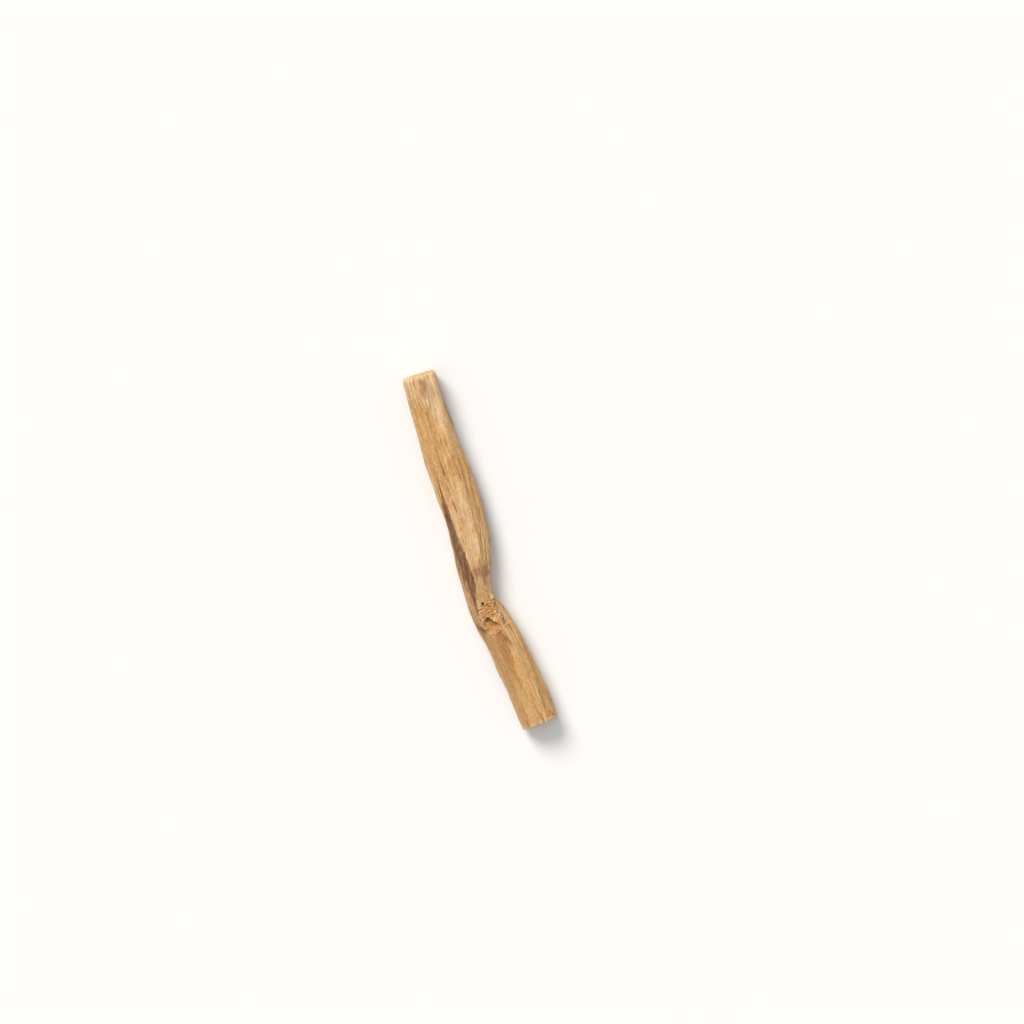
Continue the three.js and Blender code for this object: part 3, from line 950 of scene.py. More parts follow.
@dataclass
class StickSkin:
    """The stick's whole fine surface, with what each place of it is made of.

    The upper side and the underside each begin at one sine of the angle and are full at another.
    A wave of the grain has its turn, in radians, and its run along the stick.
    """

    form: SplitForm = field(default_factory=SplitForm)
    knot: TornKnot = field(default_factory=TornKnot)
    fine: SplitRelief = field(default_factory=SplitRelief)
    sides: int = 288
    crowd_to_top: float = 0.36
    knot_run: tuple[float, float] = (26.6, 37.2)
    curl_run_end: float = 42
    end_step: float = 0.1
    lower_step: float = 0.52
    knot_step: float = 0.102
    curl_step: float = 0.28
    upper_step: float = 0.53
    cap_rings: int = 22
    upper_side: tuple[float, float] = (0.25, 0.7)
    underside: tuple[float, float] = (0.75, 0.95)
    underside_calm: float = 0.8
    torn_calm: float = 0.7
    knot_bend: float = 0.1
    healed_bend: float = 0.6
    grain_waves: Sequence[tuple[float, float]] = ((0.05, 19), (0.03, 7.3))
    chip: float = 0.16
    worn_reach: float = 0.5
    worn_inset: float = 0.16
    cut_fades: float = 10
    lower_lean: tuple[float, float] = (-0.06, 0.07)
    upper_lean: tuple[float, float] = (0.035, -0.09)

    @cached_property
    def stations(self) -> Array:
        """Gives the stations of the rings, close together at the torn knot and at the ends.

        Returns:
            The stations, in order.
        """
        length = self.form.length
        worn_to, worn_from = self.worn_reach, length - self.worn_reach
        stretches = (
            (0, worn_to, self.end_step),
            (worn_to, self.knot_run[0], self.lower_step),
            (*self.knot_run, self.knot_step),
            (self.knot_run[1], self.curl_run_end, self.curl_step),
            (self.curl_run_end, worn_from, self.upper_step),
            (worn_from, length, self.end_step),
        )
        rings = [
            np.linspace(start, end, round((end - start) / step), endpoint=False)
            for start, end, step in stretches
        ]
        return np.append(np.concatenate(rings), length)

    @cached_property
    def angles(self) -> Array:
        """Gives the angles of the points of a ring, crowded towards the top."""
        even = np.arange(self.sides) * TURN / self.sides
        return even + self.crowd_to_top * np.cos(even)

    def bent_angle(self, station: Array, angle: Array, sideways: Array) -> Array:
        """Bends the grain round the torn knot and the healed knots.

        Args:
            station: the places' stations.
            angle: the places' angles, in radians.
            sideways: the places' sideways offsets.

        Returns:
            The angles at which the grain there lies in straight wood.
        """
        at = self.knot.middle
        away = sideways - at[1]
        upward = smooth(np.sin(angle), 0.1, 0.6)
        parted = self.knot_bend * upward * np.tanh(away)
        bent = angle + parted * bell(station - at[0], 5) * bell(away, 3.4)
        for knot in self.form.healed_knots:
            turned = turn_between(angle, math.radians(knot.facing))
            fade = bell(station - knot.station, 2.6) * bell(turned, 0.55)
            bent -= self.healed_bend * turned * fade
        for turn, run in self.grain_waves:
            bent += turn * np.sin(station / run)
        return bent

    def points(self, station: Array, angle: Array) -> dict[str, Array]:
        """Works out the skin at places.

        Args:
            station: the places' stations.
            angle: the places' angles, in radians.

        Returns:
            The bow, the offsets across and up from the middle line, and the masks of each place.
        """
        form, knot, fine = self.form, self.knot, self.fine
        section = form.section(station, angle)
        bow = along(form.bow, station)
        sideways = bow + section * np.cos(angle)
        upward = smooth(np.sin(angle), *self.upper_side)
        quiet = 1 - self.underside_calm * smooth(-np.sin(angle), *self.underside)
        bent = self.bent_angle(station, angle, sideways)
        torn_height, torn, crest_light_and_shade = knot.relief(station, sideways)
        torn = torn * upward
        swelling, eyes = form.swelling_height(station, angle)
        hole = fine.hole_mask(station, sideways) * upward
        inside, _ = knot.hollow(station, sideways)
        split = 1 - self.torn_calm * torn
        relief = quiet * form.rib_height(station, angle) + swelling
        relief += quiet * split * fine.fibre_height(station, bent)
        relief += upward * torn_height - hole * fine.hole_depth
        cracked = fine.crack_depth(station, angle, form.length, section, fine.crack_width)
        relief -= cracked
        from_end = np.minimum(station, form.length - station)
        chipped = self.chip * GrainNoise(17, 60, 0.7).at(station, angle)
        worn = self.worn_inset * (1 - smooth(from_end + chipped, 0, self.worn_reach)) ** 2
        reach = section + relief - knot.nick_depth(station, angle) - worn
        leans = smooth(knot.uphill(station, sideways), *knot.overhang_from)
        at_rim = bell(inside - knot.overhang_at, knot.overhang_breadth)
        overhang = upward * knot.overhang * at_rim * leans
        return {
            "bow": bow,
            "across": reach * np.cos(angle),
            "up": reach * np.sin(angle),
            "overhang": overhang,
            "bent": bent,
            "upward": upward,
            "torn": torn,
            "crest_light_and_shade": crest_light_and_shade,
            "inside": inside,
            "hole": hole,
            "eyes": eyes,
            "cracked": smooth(cracked, 0.08, 0.35),
            # painted highlight round the rims of the sawn ends, carried by the pale tint
            "rim": 1 - smooth(from_end + 2 * chipped, 0.2, 1.0),
        }

    def place(self, station: Array, skin: dict[str, Array], share: Array | float = 1.0) -> Array:
        """Turns the skin's offsets into points of the shared frame.

        Args:
            station: the places' stations.
            skin: the skin there, as points() gives it.
            share: 1 on the skin, 0 in the middle of a sawn end.

        Returns:
            Points in millimetres.
        """
        length = self.form.length
        across, up = share * skin["across"], share * skin["up"]
        lower = 1 - smooth(station, 0, self.cut_fades)
        upper = smooth(station, length - self.cut_fades, length)
        x = station + lower * (self.lower_lean[0] * across + self.lower_lean[1] * up)
        x += upper * (self.upper_lean[0] * across + self.upper_lean[1] * up)
        turn = math.radians(self.knot.uphill_turn)
        x = x - length / 2 - skin["overhang"] * math.cos(turn)
        y = skin["bow"] + across - self.form.sideways_middle + skin["overhang"] * math.sin(turn)
        z = np.maximum(0, self.form.axis_height + up)
        return np.stack([x, y, z], axis=-1)

    def grain(self, station: Array, skin: dict[str, Array]) -> Array:
        """Gives where each place lies in the straight wood.

        Args:
            station: the places' stations.
            skin: the skin there, as points() gives it.

        Returns:
            Positions in millimetres.
        """
        reach = np.hypot(skin["across"], skin["up"])
        parts = [station, reach * np.cos(skin["bent"]), reach * np.sin(skin["bent"])]
        return np.stack(parts, axis=-1)

    def state(self, skin: dict[str, Array]) -> Array:
        """Tells how torn the wood is at places, and where light and shade are painted on it.

        Args:
            skin: the skin there, as points() gives it.

        Returns:
            How torn each place is, its painted shade in the hollow, the borer's hole and the
            cracks, and its painted light and shade on the torn fibre.
        """
        # painted shade: darker in the hollow, in the borer's hole and in the drying cracks
        painted_shade = 0.1 * smooth(skin["inside"], 0.2, 1.8) * skin["upward"]
        painted_shade = np.maximum(painted_shade, np.maximum(skin["hole"], 0.6 * skin["cracked"]))
        return np.stack([skin["torn"], painted_shade, skin["crest_light_and_shade"]], axis=-1)

    def round_path(self, marking: Marking) -> list[tuple[float, float, float]]:
        """Lays a marking's path round the skin.

        Args:
            marking: the marking.

        Returns:
            Its points' stations, places round the skin and half widths, in millimetres.
        """
        if marking.round_stick:
            return [(s, degrees * MM_PER_DEGREE, width) for s, degrees, width in marking.path]
        degrees = np.arange(0, 181.0)
        path = []
        for s, y, width in marking.path:
            station = np.full(degrees.shape, float(s))
            reach = self.form.section(station, np.radians(degrees))
            offsets = along(self.form.bow, station) + reach * np.cos(np.radians(degrees))
            left, middle, right = np.interp([y + width, y, y - width], offsets[::-1], degrees[::-1])
            path.append((s, middle * MM_PER_DEGREE, 0.5 * (right - left) * MM_PER_DEGREE))
        return path

    def tints(self, station: Array, angle: Array, skin: dict[str, Array]) -> Array:
        """Works out the marks of colour.

        Args:
            station: the places' stations.
            angle: the places' angles, in radians.
            skin: the skin there, as points() gives it.

        Returns:
            The strength of each tint, one column for each.
        """
        amounts = np.zeros((*np.shape(station), len(Tint)))
        ragged = 0.6 * GrainNoise(81, 50, 7).at(station, skin["bent"])
        ragged += 0.4 * GrainNoise(82, 110, 2.5).at(station, skin["bent"])
        turn = 360 * MM_PER_DEGREE
        place = np.degrees(np.mod(angle, TURN)) * MM_PER_DEGREE
        for marking in MARKINGS:
            path = self.round_path(marking)
            middle = sum(point[1] for point in path) / len(path)
            nearest = middle + np.mod(place - middle + turn / 2, turn) - turn / 2
            away, width = near_path(path, station, nearest)
            edge = away - width - marking.ragged * (width + 0.2) * ragged
            amount = marking.strength * (1 - smooth(edge, -marking.softness, marking.softness))
            column = amounts[..., marking.tint.value]
            np.maximum(column, amount, out=column)
        dark, pale = amounts[..., Tint.DARK.value], amounts[..., Tint.PALE.value]
        # the borer's hole is darkened as painted shade; the healed knots' eyes have the wood's own
        # darker colour
        np.maximum(dark, np.maximum(skin["hole"], 0.9 * skin["eyes"]), out=dark)
        # painted highlight round the sawn ends' rims
        np.maximum(pale, 0.7 * skin["rim"], out=pale)
        return amounts


@dataclass(frozen=True)
class Wiring:
    """Short calls that add nodes to a tree, a material's or a group's, and link them.

    Red and blue take their shares of each shade, where green takes it whole.
    """

    tree: bpy.types.NodeTree
    red_share: float = 0.7
    blue_share: float = 1.6

    def feed(self, node: bpy.types.Node, inputs: Inputs) -> None:
        """Gives a node's inputs what they need.

        Args:
            node: the node.
            inputs: what each input gets, a socket or a plain value, by its name or number.
        """
        for name, value in inputs.items():
            socket = node.inputs[name]
            if isinstance(value, Socket):
                self.tree.links.new(value, socket)
            else:
                socket.default_value = value

    def add(self, kind: str, inputs: Inputs | None = None, **settings: object) -> bpy.types.Node:
        """Adds a node.

        Args:
            kind: the node's type.
            inputs: what each input gets, a socket or a plain value, by its name or number.
            settings: the node's own settings.

        Returns:
            The node.
        """
        node = self.tree.nodes.new(kind)
        for name, value in settings.items():
            setattr(node, name, value)
        self.feed(node, inputs or {})
        return node

    def held(self, name: str, output: str) -> Socket:
        """Reads what the mesh holds at its points under a name, as a vector or as a number."""
        node = self.add("ShaderNodeAttribute", attribute_type="GEOMETRY", attribute_name=name)
        return node.outputs[output]

    def vector(self, name: str) -> Socket:
        """Reads a vector that the mesh holds at its points."""
        return self.held(name, "Vector")

    def number(self, name: str) -> Socket:
        """Reads a number that the mesh holds at its points."""
        return self.held(name, "Fac")

    def split(self, vector: Socket) -> list[Socket]:
        """Gives a vector's three parts."""
        return list(self.add("ShaderNodeSeparateXYZ", {0: vector}).outputs)

    def scaled(self, vector: Socket, by: tuple[float, float, float]) -> Socket:
        """Multiplies a vector's parts by three numbers."""
        return self.add("ShaderNodeVectorMath", {0: vector, 1: by}, operation="MULTIPLY").outputs[0]

    def math(self, operation: str, a: object, b: object = 0.0) -> Socket:
        """Works out one number from two."""
        return self.add("ShaderNodeMath", {0: a, 1: b}, operation=operation).outputs[0]

    def plus(self, a: object, b: object) -> Socket:
        """Adds two numbers."""
        return self.math("ADD", a, b)

    def minus(self, a: object, b: object) -> Socket:
        """Takes the second number from the first."""
        return self.math("SUBTRACT", a, b)

    def times(self, a: object, b: object) -> Socket:
        """Multiplies two numbers."""
        return self.math("MULTIPLY", a, b)

    def ease(
        self, value: object, low: float, high: float, start: float = 0.0, end: float = 1.0
    ) -> Socket:
        """Eases a value between two limits.

        Args:
            value: the value.
            low: where the result is start.
            high: where the result is end.
            start: the result at low.
            end: the result at high.

        Returns:
            The eased value.
        """
        inputs = {"Value": value, "From Min": low, "From Max": high, "To Min": start, "To Max": end}
        return self.add("ShaderNodeMapRange", inputs, interpolation_type="SMOOTHSTEP").outputs[0]

    def mix(self, share: object, a: object, b: object, blend: str = "MIX") -> Socket:
        """Mixes two colours.

        Args:
            share: how much of b there is.
            a: the colour below.
            b: the colour on top.
            blend: how b goes onto a.

        Returns:
            The mixed colour.
        """
        node = self.add("ShaderNodeMix", {0: share, 6: a, 7: b}, data_type="RGBA", blend_type=blend)
        return node.outputs[2]

    def shade(self, color: object, amount: Socket) -> Socket:
        """Makes a colour paler or, as resin does, darker and warmer.

        Args:
            color: the colour.
            amount: the factor on its green, below 1 to darken it.

        Returns:
            The shaded colour.
        """
        red = self.math("POWER", amount, self.red_share)
        blue = self.math("POWER", amount, self.blue_share)
        factors = self.add("ShaderNodeCombineColor", {0: red, 1: amount, 2: blue}).outputs[0]
        return self.mix(1.0, color, factors, "MULTIPLY")

    def noise(self, vector: Socket, detail: float, roughness: float = 0.55) -> Socket:
        """Reads cloudy noise at a vector."""
        inputs = {"Vector": vector, "Scale": 1.0, "Detail": detail, "Roughness": roughness}
        return self.add("ShaderNodeTexNoise", inputs).outputs[0]

    def bump(self, height: Socket, strength: float, depth: float) -> Socket:
        """Gives the normals of a relief, whose depth is in millimetres."""
        inputs = {"Height": height, "Strength": strength, "Distance": depth * MM}
        return self.add("ShaderNodeBump", inputs).outputs[0]

    def dashes(self, vector: Socket, share: object, reach: tuple[float, float]) -> Socket:
        """Draws scattered dashes, one in each chosen cell of space.

        Args:
            vector: the place, in cells.
            share: the share of the cells that hold a dash.
            reach: how far from its middle a dash is full, and where it ends, in cells.

        Returns:
            1 in a dash, 0 beside it.
        """
        inputs = {"Vector": vector, "Scale": 1.0, "Randomness": 1.0}
        cells = self.add("ShaderNodeTexVoronoi", inputs)
        thread = self.ease(cells.outputs["Distance"], *reach, 1.0, 0.0)
        chosen = self.add("ShaderNodeSeparateColor", {0: cells.outputs["Color"]}).outputs[0]
        return self.times(thread, self.math("GREATER_THAN", share, chosen))


def new_group(
    name: str, inputs: dict[str, object], outputs: dict[str, str]
) -> tuple[Wiring, bpy.types.Node, bpy.types.Node]:
    """Starts a shader node group.

    Args:
        name: the group's name.
        inputs: each input's name, with its value at the start, or None for a vector.
        outputs: each output's name, with its socket type.

    Returns:
        The group's wiring, its input node and its output node.
    """
    tree = bpy.data.node_groups.new(name, "ShaderNodeTree")
    for label, value in inputs.items():
        if value is None:
            tree.interface.new_socket(label, in_out="INPUT", socket_type="NodeSocketVector")
        elif isinstance(value, tuple):
            socket = tree.interface.new_socket(label, in_out="INPUT", socket_type="NodeSocketColor")
            socket.default_value = value
        else:
            socket = tree.interface.new_socket(label, in_out="INPUT", socket_type="NodeSocketFloat")
            socket.default_value = value
    for label, kind in outputs.items():
        tree.interface.new_socket(label, in_out="OUTPUT", socket_type=kind)
    wiring = Wiring(tree)
    return wiring, wiring.add("NodeGroupInput"), wiring.add("NodeGroupOutput")


@dataclass
class WoodEffects:
    """The shader groups that the stick's finishes share."""

    def build(self) -> None:
        """Builds the groups once."""
        self.fibre = self.build_fibre()
        self.tints = self.build_tints()

    def build_fibre(self) -> bpy.types.NodeTree:
        """Builds the wood's own pattern, which runs through it along the grain.

        Returns:
            A group that takes the place in the straight wood, in millimetres, and gives the
            pattern's masks and height.
        """
        names = (
            "Streaks", "Bands", "Fibre", "Vessels", "Threads",
            "Flecks", "Specks", "Mottle", "Relief",
        )
        outputs = dict.fromkeys(names, "NodeSocketFloat")
        w, start, end = new_group("Split wood fibre", {"Grain": None, "Vessel Share": 0.5}, outputs)
        grain = start.outputs["Grain"]
        dash = (0.08, 0.34)
        streaks = w.ease(w.noise(w.scaled(grain, (0.028, 0.55, 0.55)), 5), 0.34, 0.66)
        bands = w.ease(w.noise(w.scaled(grain, (0.07, 2.1, 2.1)), 4, 0.6), 0.32, 0.68)
        fibre = w.ease(w.noise(w.scaled(grain, (0.17, 6.0, 6.0)), 4, 0.65), 0.28, 0.72)
        mottle = w.ease(w.noise(w.scaled(grain, (0.9, 2.6, 2.6)), 4, 0.65), 0.3, 0.7)
        vessels = w.dashes(w.scaled(grain, (0.62, 4.2, 4.2)), start.outputs["Vessel Share"], dash)
        flecks = w.dashes(w.scaled(grain, (0.62, 3.6, 3.6)), 0.22, dash)
        specks = w.ease(w.noise(w.scaled(grain, (1.35, 3.3, 3.3)), 2, 0.7), 0.47, 0.66)
        hair = w.noise(w.scaled(grain, (0.4, 17, 17)), 3)
        level = w.noise(w.scaled(grain, (0.16, 4.2, 4.2)), 3, 0.6)
        apart = w.math("ABSOLUTE", w.minus(level, 0.5))
        parted = w.ease(w.noise(w.scaled(grain, (0.22, 1.3, 1.3)), 2), 0.5, 0.62)
        threads = w.times(w.ease(apart, 0.0, 0.022, 1.0, 0.0), parted)
        lifted = w.plus(w.times(fibre, 0.55), w.times(hair, 0.6))
        lifted = w.plus(lifted, w.times(bands, 0.5))
        sunk = w.plus(w.times(vessels, 0.9), w.times(threads, 1.1))
        relief = w.minus(lifted, sunk)
        sockets = (streaks, bands, fibre, vessels, threads, flecks, specks, mottle, relief)
        w.feed(end, dict(zip(names, sockets)))
        return w.tree

    def build_tints(self) -> bpy.types.NodeTree:
        """Builds what resin, dark heartwood and violet stain do to the wood's colour.

        Returns:
            A group that takes a colour and the tints' strengths and gives the tinted colour.
        """
        inputs = {
            "Color": (0.5, 0.5, 0.5, 1.0), "Tint": None, "Fibre": 0.5, "Bands": 0.5, "Mottle": 0.5,
            "Resin": srgb("CE9A57"), "Deep Resin": srgb("BC7F3C"), "Dark": srgb("74482A"),
            "Darkest": srgb("5C3A24"), "Violet": srgb("976A4B"),
        }
        outputs = {"Color": "NodeSocketColor", "Resin": "NodeSocketFloat"}
        w, start, end = new_group("Resin and heartwood tints", inputs, outputs)
        s = start.outputs
        resin, dark, violet = w.split(s["Tint"])
        broken = w.plus(w.times(s["Bands"], 0.6), w.times(s["Fibre"], 0.4))
        soaked = w.times(resin, w.ease(broken, 0.05, 0.8, 0.5, 1.05))
        color = w.mix(soaked, s["Color"], s["Resin"])
        deep = w.times(w.ease(resin, 0.6, 1.0), w.ease(broken, 0.2, 0.75, 0.1, 0.9))
        color = w.mix(deep, color, s["Deep Resin"])
        stained = w.times(violet, w.ease(broken, 0.15, 0.85, 1.0, 0.55))
        color = w.mix(stained, color, s["Violet"])
        uneven = w.minus(w.plus(broken, w.times(s["Mottle"], 0.35)), 0.68)
        edge = w.plus(dark, w.times(uneven, 0.52))
        darkened = w.times(w.ease(edge, 0.22, 1.0), w.ease(dark, 0.02, 0.3, 0.0, 0.92))
        depth = w.ease(w.plus(edge, w.times(s["Fibre"], 0.3)), 0.9, 1.35)
        color = w.mix(darkened, color, w.mix(depth, s["Dark"], s["Darkest"]))
        w.feed(end, {"Color": color, "Resin": soaked})
        return w.tree

    def add_fibre(self, w: Wiring, grain: Socket, share: object) -> NodeOutputs:
        """Places the wood's pattern in a material.

        Args:
            w: the material's wiring.
            grain: the place in the straight wood.
            share: the share of the wood that holds vessels.

        Returns:
            The pattern's outputs.
        """
        inputs = {"Grain": grain, "Vessel Share": share}
        return w.add("ShaderNodeGroup", inputs, node_tree=self.fibre).outputs

    def add_tints(
        self, w: Wiring, color: Socket, tint: Socket, pattern: NodeOutputs
    ) -> NodeOutputs:
        """Places the tints in a material, over a colour.

        Args:
            w: the material's wiring.
            color: the colour.
            tint: the strengths of resin, dark heartwood and violet stain.
            pattern: the outputs of the wood's pattern.

        Returns:
            The tints' outputs.
        """
        inputs = {"Color": color, "Tint": tint}
        inputs |= {name: pattern[name] for name in ("Fibre", "Bands", "Mottle")}
        return w.add("ShaderNodeGroup", inputs, node_tree=self.tints).outputs


def new_material(name: str) -> tuple[bpy.types.Material, Wiring, bpy.types.Node]:
    """Starts a material.

    Args:
        name: the material's name.

    Returns:
        The material, its wiring and its shader.
    """
    material = bpy.data.materials.new(name)
    material.use_nodes = True
    return material, Wiring(material.node_tree), material.node_tree.nodes["Principled BSDF"]


@dataclass(frozen=True)
class SplitFinish:
    """The split sides: pale honey wood with fibre, vessels, streaks of resin and the torn knot,
    with painted light and shade on the torn fibre and painted shade in the hollow, the hole and the
    cracks.
    """

    effects: WoodEffects
    pale: Color = srgb("E4C091")
    honey: Color = srgb("D3A76C")
    band: Color = srgb("C4925A")
    speck: Color = srgb("C08848")
    vessel: Color = srgb("9C6533")
    fleck: Color = srgb("F3D8AB")
    # the torn fibre's colours, with a painted highlight on its crests and painted shade in its gaps
    torn_lit_crest: Color = srgb("F1D0A2")
    torn_shaded_gap: Color = srgb("B98149")
    # the colour of the painted shade in the hollow, the borer's hole and the cracks
    shade: Color = srgb("7D4C26")
    relief_strength: float = 0.85
    relief_depth: float = 0.07
    gloss: float = 0.35

    def build(self) -> bpy.types.Material:
        """Builds the material.

        Returns:
            The material.
        """
        material, w, shader = new_material("palo_santo_split_face")
        tint = w.vector("tint")
        torn, painted_shade, crest_light_and_shade = w.split(w.vector("state"))
        resin, dark, _ = w.split(tint)
        share = w.ease(w.plus(resin, w.times(dark, 0.5)), 0.1, 0.7, 0.3, 0.75)
        f = self.effects.add_fibre(w, w.vector("grain"), share)
        color = w.mix(w.times(f["Streaks"], 0.75), self.pale, self.honey)
        color = w.mix(w.ease(f["Bands"], 0.45, 1.0, 0.0, 0.4), color, self.band)
        color = w.mix(w.times(f["Specks"], 0.5), color, self.speck)
        # the torn fibre, painted paler on its crests and darker in its gaps: painted highlight and
        # shade
        torn_lit_and_shaded = w.mix(w.ease(crest_light_and_shade, 0.15, 0.85), self.torn_shaded_gap, self.torn_lit_crest)
        color = w.mix(w.times(torn, 0.8), color, torn_lit_and_shaded)
        tints = self.effects.add_tints(w, color, tint, f)
        color = w.shade(tints["Color"], w.ease(f["Fibre"], 0, 1, 1.07, 0.87))
        color = w.shade(color, w.ease(f["Mottle"], 0, 1, 1.1, 0.88))
        lines = w.math("MAXIMUM", w.times(f["Vessels"], 0.5), w.times(f["Threads"], 0.5))
        color = w.mix(lines, color, self.vessel)
        # pale marks, with the painted highlights round the ends' rims and on two ridges
        pale_and_highlit = w.times(w.number("pale"), w.ease(f["Bands"], 0.1, 0.9, 0.8, 0.4))
        color = w.mix(pale_and_highlit, color, self.fleck)
        pale_only = w.ease(dark, 0.1, 0.5, 0.55, 0.1)
        color = w.mix(w.times(f["Flecks"], pale_only), color, self.fleck)
        # painted shade in the hollow, the borer's hole and the cracks
        color = w.mix(painted_shade, color, self.shade)
        dry = w.ease(f["Fibre"], 0, 1, 0.62, 0.8)
        rough = w.minus(dry, w.times(tints["Resin"], 0.18))
        normal = w.bump(f["Relief"], self.relief_strength, self.relief_depth)
        w.feed(shader, {
            "Base Color": color, "Roughness": rough, "Normal": normal,
            "Specular IOR Level": self.gloss,
        })
        return material


@dataclass(frozen=True)
class SawnFinish:
    """The sawn ends: end grain with rings, rays, fine pores and the saw's scores, painted shade in
    the cracks and a painted highlight round the rim.
    """

    effects: WoodEffects
    wood: Color = srgb("E4C495")
    late_wood: Color = srgb("B58554")
    ray: Color = srgb("EBCFA4")
    pore: Color = srgb("7A5230")
    # the colour of the painted shade in the cracks of the sawn ends
    shade: Color = srgb("5E3A20")
    pith_offset: tuple[float, float, float] = (0, 11, 7)
    rings_per_mm: float = 1.0
    ring_wobble: float = 1.6
    rays_round: float = 95.0
    saw_turn: float = 24
    saw_scale: tuple[float, float, float] = (0, 0.8, 9.0)
    relief_strength: float = 0.9
    relief_depth: float = 0.09
    gloss: float = 0.25

    def build(self) -> bpy.types.Material:
        """Builds the material.

        Returns:
            The material.
        """
        material, w, shader = new_material("palo_santo_sawn_end")
        grain = w.vector("grain")
        _, painted_shade, _ = w.split(w.vector("state"))
        f = self.effects.add_fibre(w, grain, 0.6)
        flat = {0: w.scaled(grain, (0, 1, 1)), 1: self.pith_offset}
        from_pith = w.add("ShaderNodeVectorMath", flat, operation="ADD").outputs[0]
        length = w.add("ShaderNodeVectorMath", {0: from_pith}, operation="LENGTH")
        distance = length.outputs["Value"]
        wobble = w.times(w.noise(w.scaled(grain, (0, 0.4, 0.4)), 3), self.ring_wobble)
        turns = w.plus(w.times(distance, self.rings_per_mm), wobble)
        late = w.ease(w.math("FRACT", turns), 0.45, 0.95)
        _, sideways, upwards = w.split(from_pith)
        bearing = w.times(w.math("ARCTAN2", upwards, sideways), self.rays_round)
        ray_place = w.add("ShaderNodeCombineXYZ", {0: bearing, 1: w.times(distance, 0.5)})
        rays = w.ease(w.noise(ray_place.outputs[0], 2), 0.56, 0.68)
        color = w.mix(w.ease(f["Streaks"], 0, 1, 0.0, 0.45), self.wood, self.late_wood)
        color = w.mix(w.times(late, 0.55), color, self.late_wood)
        color = w.mix(w.times(rays, 0.3), color, self.ray)
        tints = self.effects.add_tints(w, color, w.vector("tint"), f)
        turn = (math.radians(self.saw_turn), 0, 0)
        placed = {"Vector": grain, "Rotation": turn, "Scale": self.saw_scale}
        across_saw = w.add("ShaderNodeMapping", placed)
        scores = w.noise(across_saw.outputs[0], 3, 0.65)
        color = w.shade(tints["Color"], w.ease(scores, 0.3, 0.7, 0.84, 1.1))
        color = w.shade(color, w.ease(f["Mottle"], 0, 1, 1.08, 0.9))
        pores = w.dashes(w.scaled(grain, (0, 6.5, 6.5)), 0.42, (0.1, 0.26))
        color = w.mix(w.times(pores, 0.6), color, self.pore)
        # the pale tint carried in from the edge, which holds the painted highlight round the rim
        color = w.mix(w.times(w.number("pale"), 0.5), color, self.ray)
        # painted shade in the cracks of the sawn ends
        color = w.mix(w.times(painted_shade, 0.85), color, self.shade)
        fuzz = w.noise(w.scaled(grain, (0, 11, 11)), 4, 0.7)
        height = w.plus(w.times(scores, 0.9), w.times(fuzz, 0.5))
        height = w.minus(height, w.times(pores, 0.5))
        normal = w.bump(height, self.relief_strength, self.relief_depth)
        rough = w.ease(fuzz, 0.3, 0.7, 0.92, 0.74)
        w.feed(shader, {
            "Base Color": color, "Roughness": rough, "Normal": normal,
            "Specular IOR Level": self.gloss,
        })
        return material


def hold(mesh: bpy.types.Mesh, name: str, values: Array) -> None:
    """Gives each point of a mesh a vector."""
    mesh.attributes.new(name, "FLOAT_VECTOR", "POINT").data.foreach_set("vector", values.ravel())


def hold_tints(mesh: bpy.types.Mesh, tints: Array) -> None:
    """Gives each point of a mesh the strengths of the tints.

    Args:
        mesh: the mesh.
        tints: the strengths, a row for each point.
    """
    hold(mesh, "tint", tints[:, : Tint.PALE.value])
    pale = np.ascontiguousarray(tints[:, Tint.PALE.value])
    mesh.attributes.new("pale", "FLOAT", "POINT").data.foreach_set("value", pale)


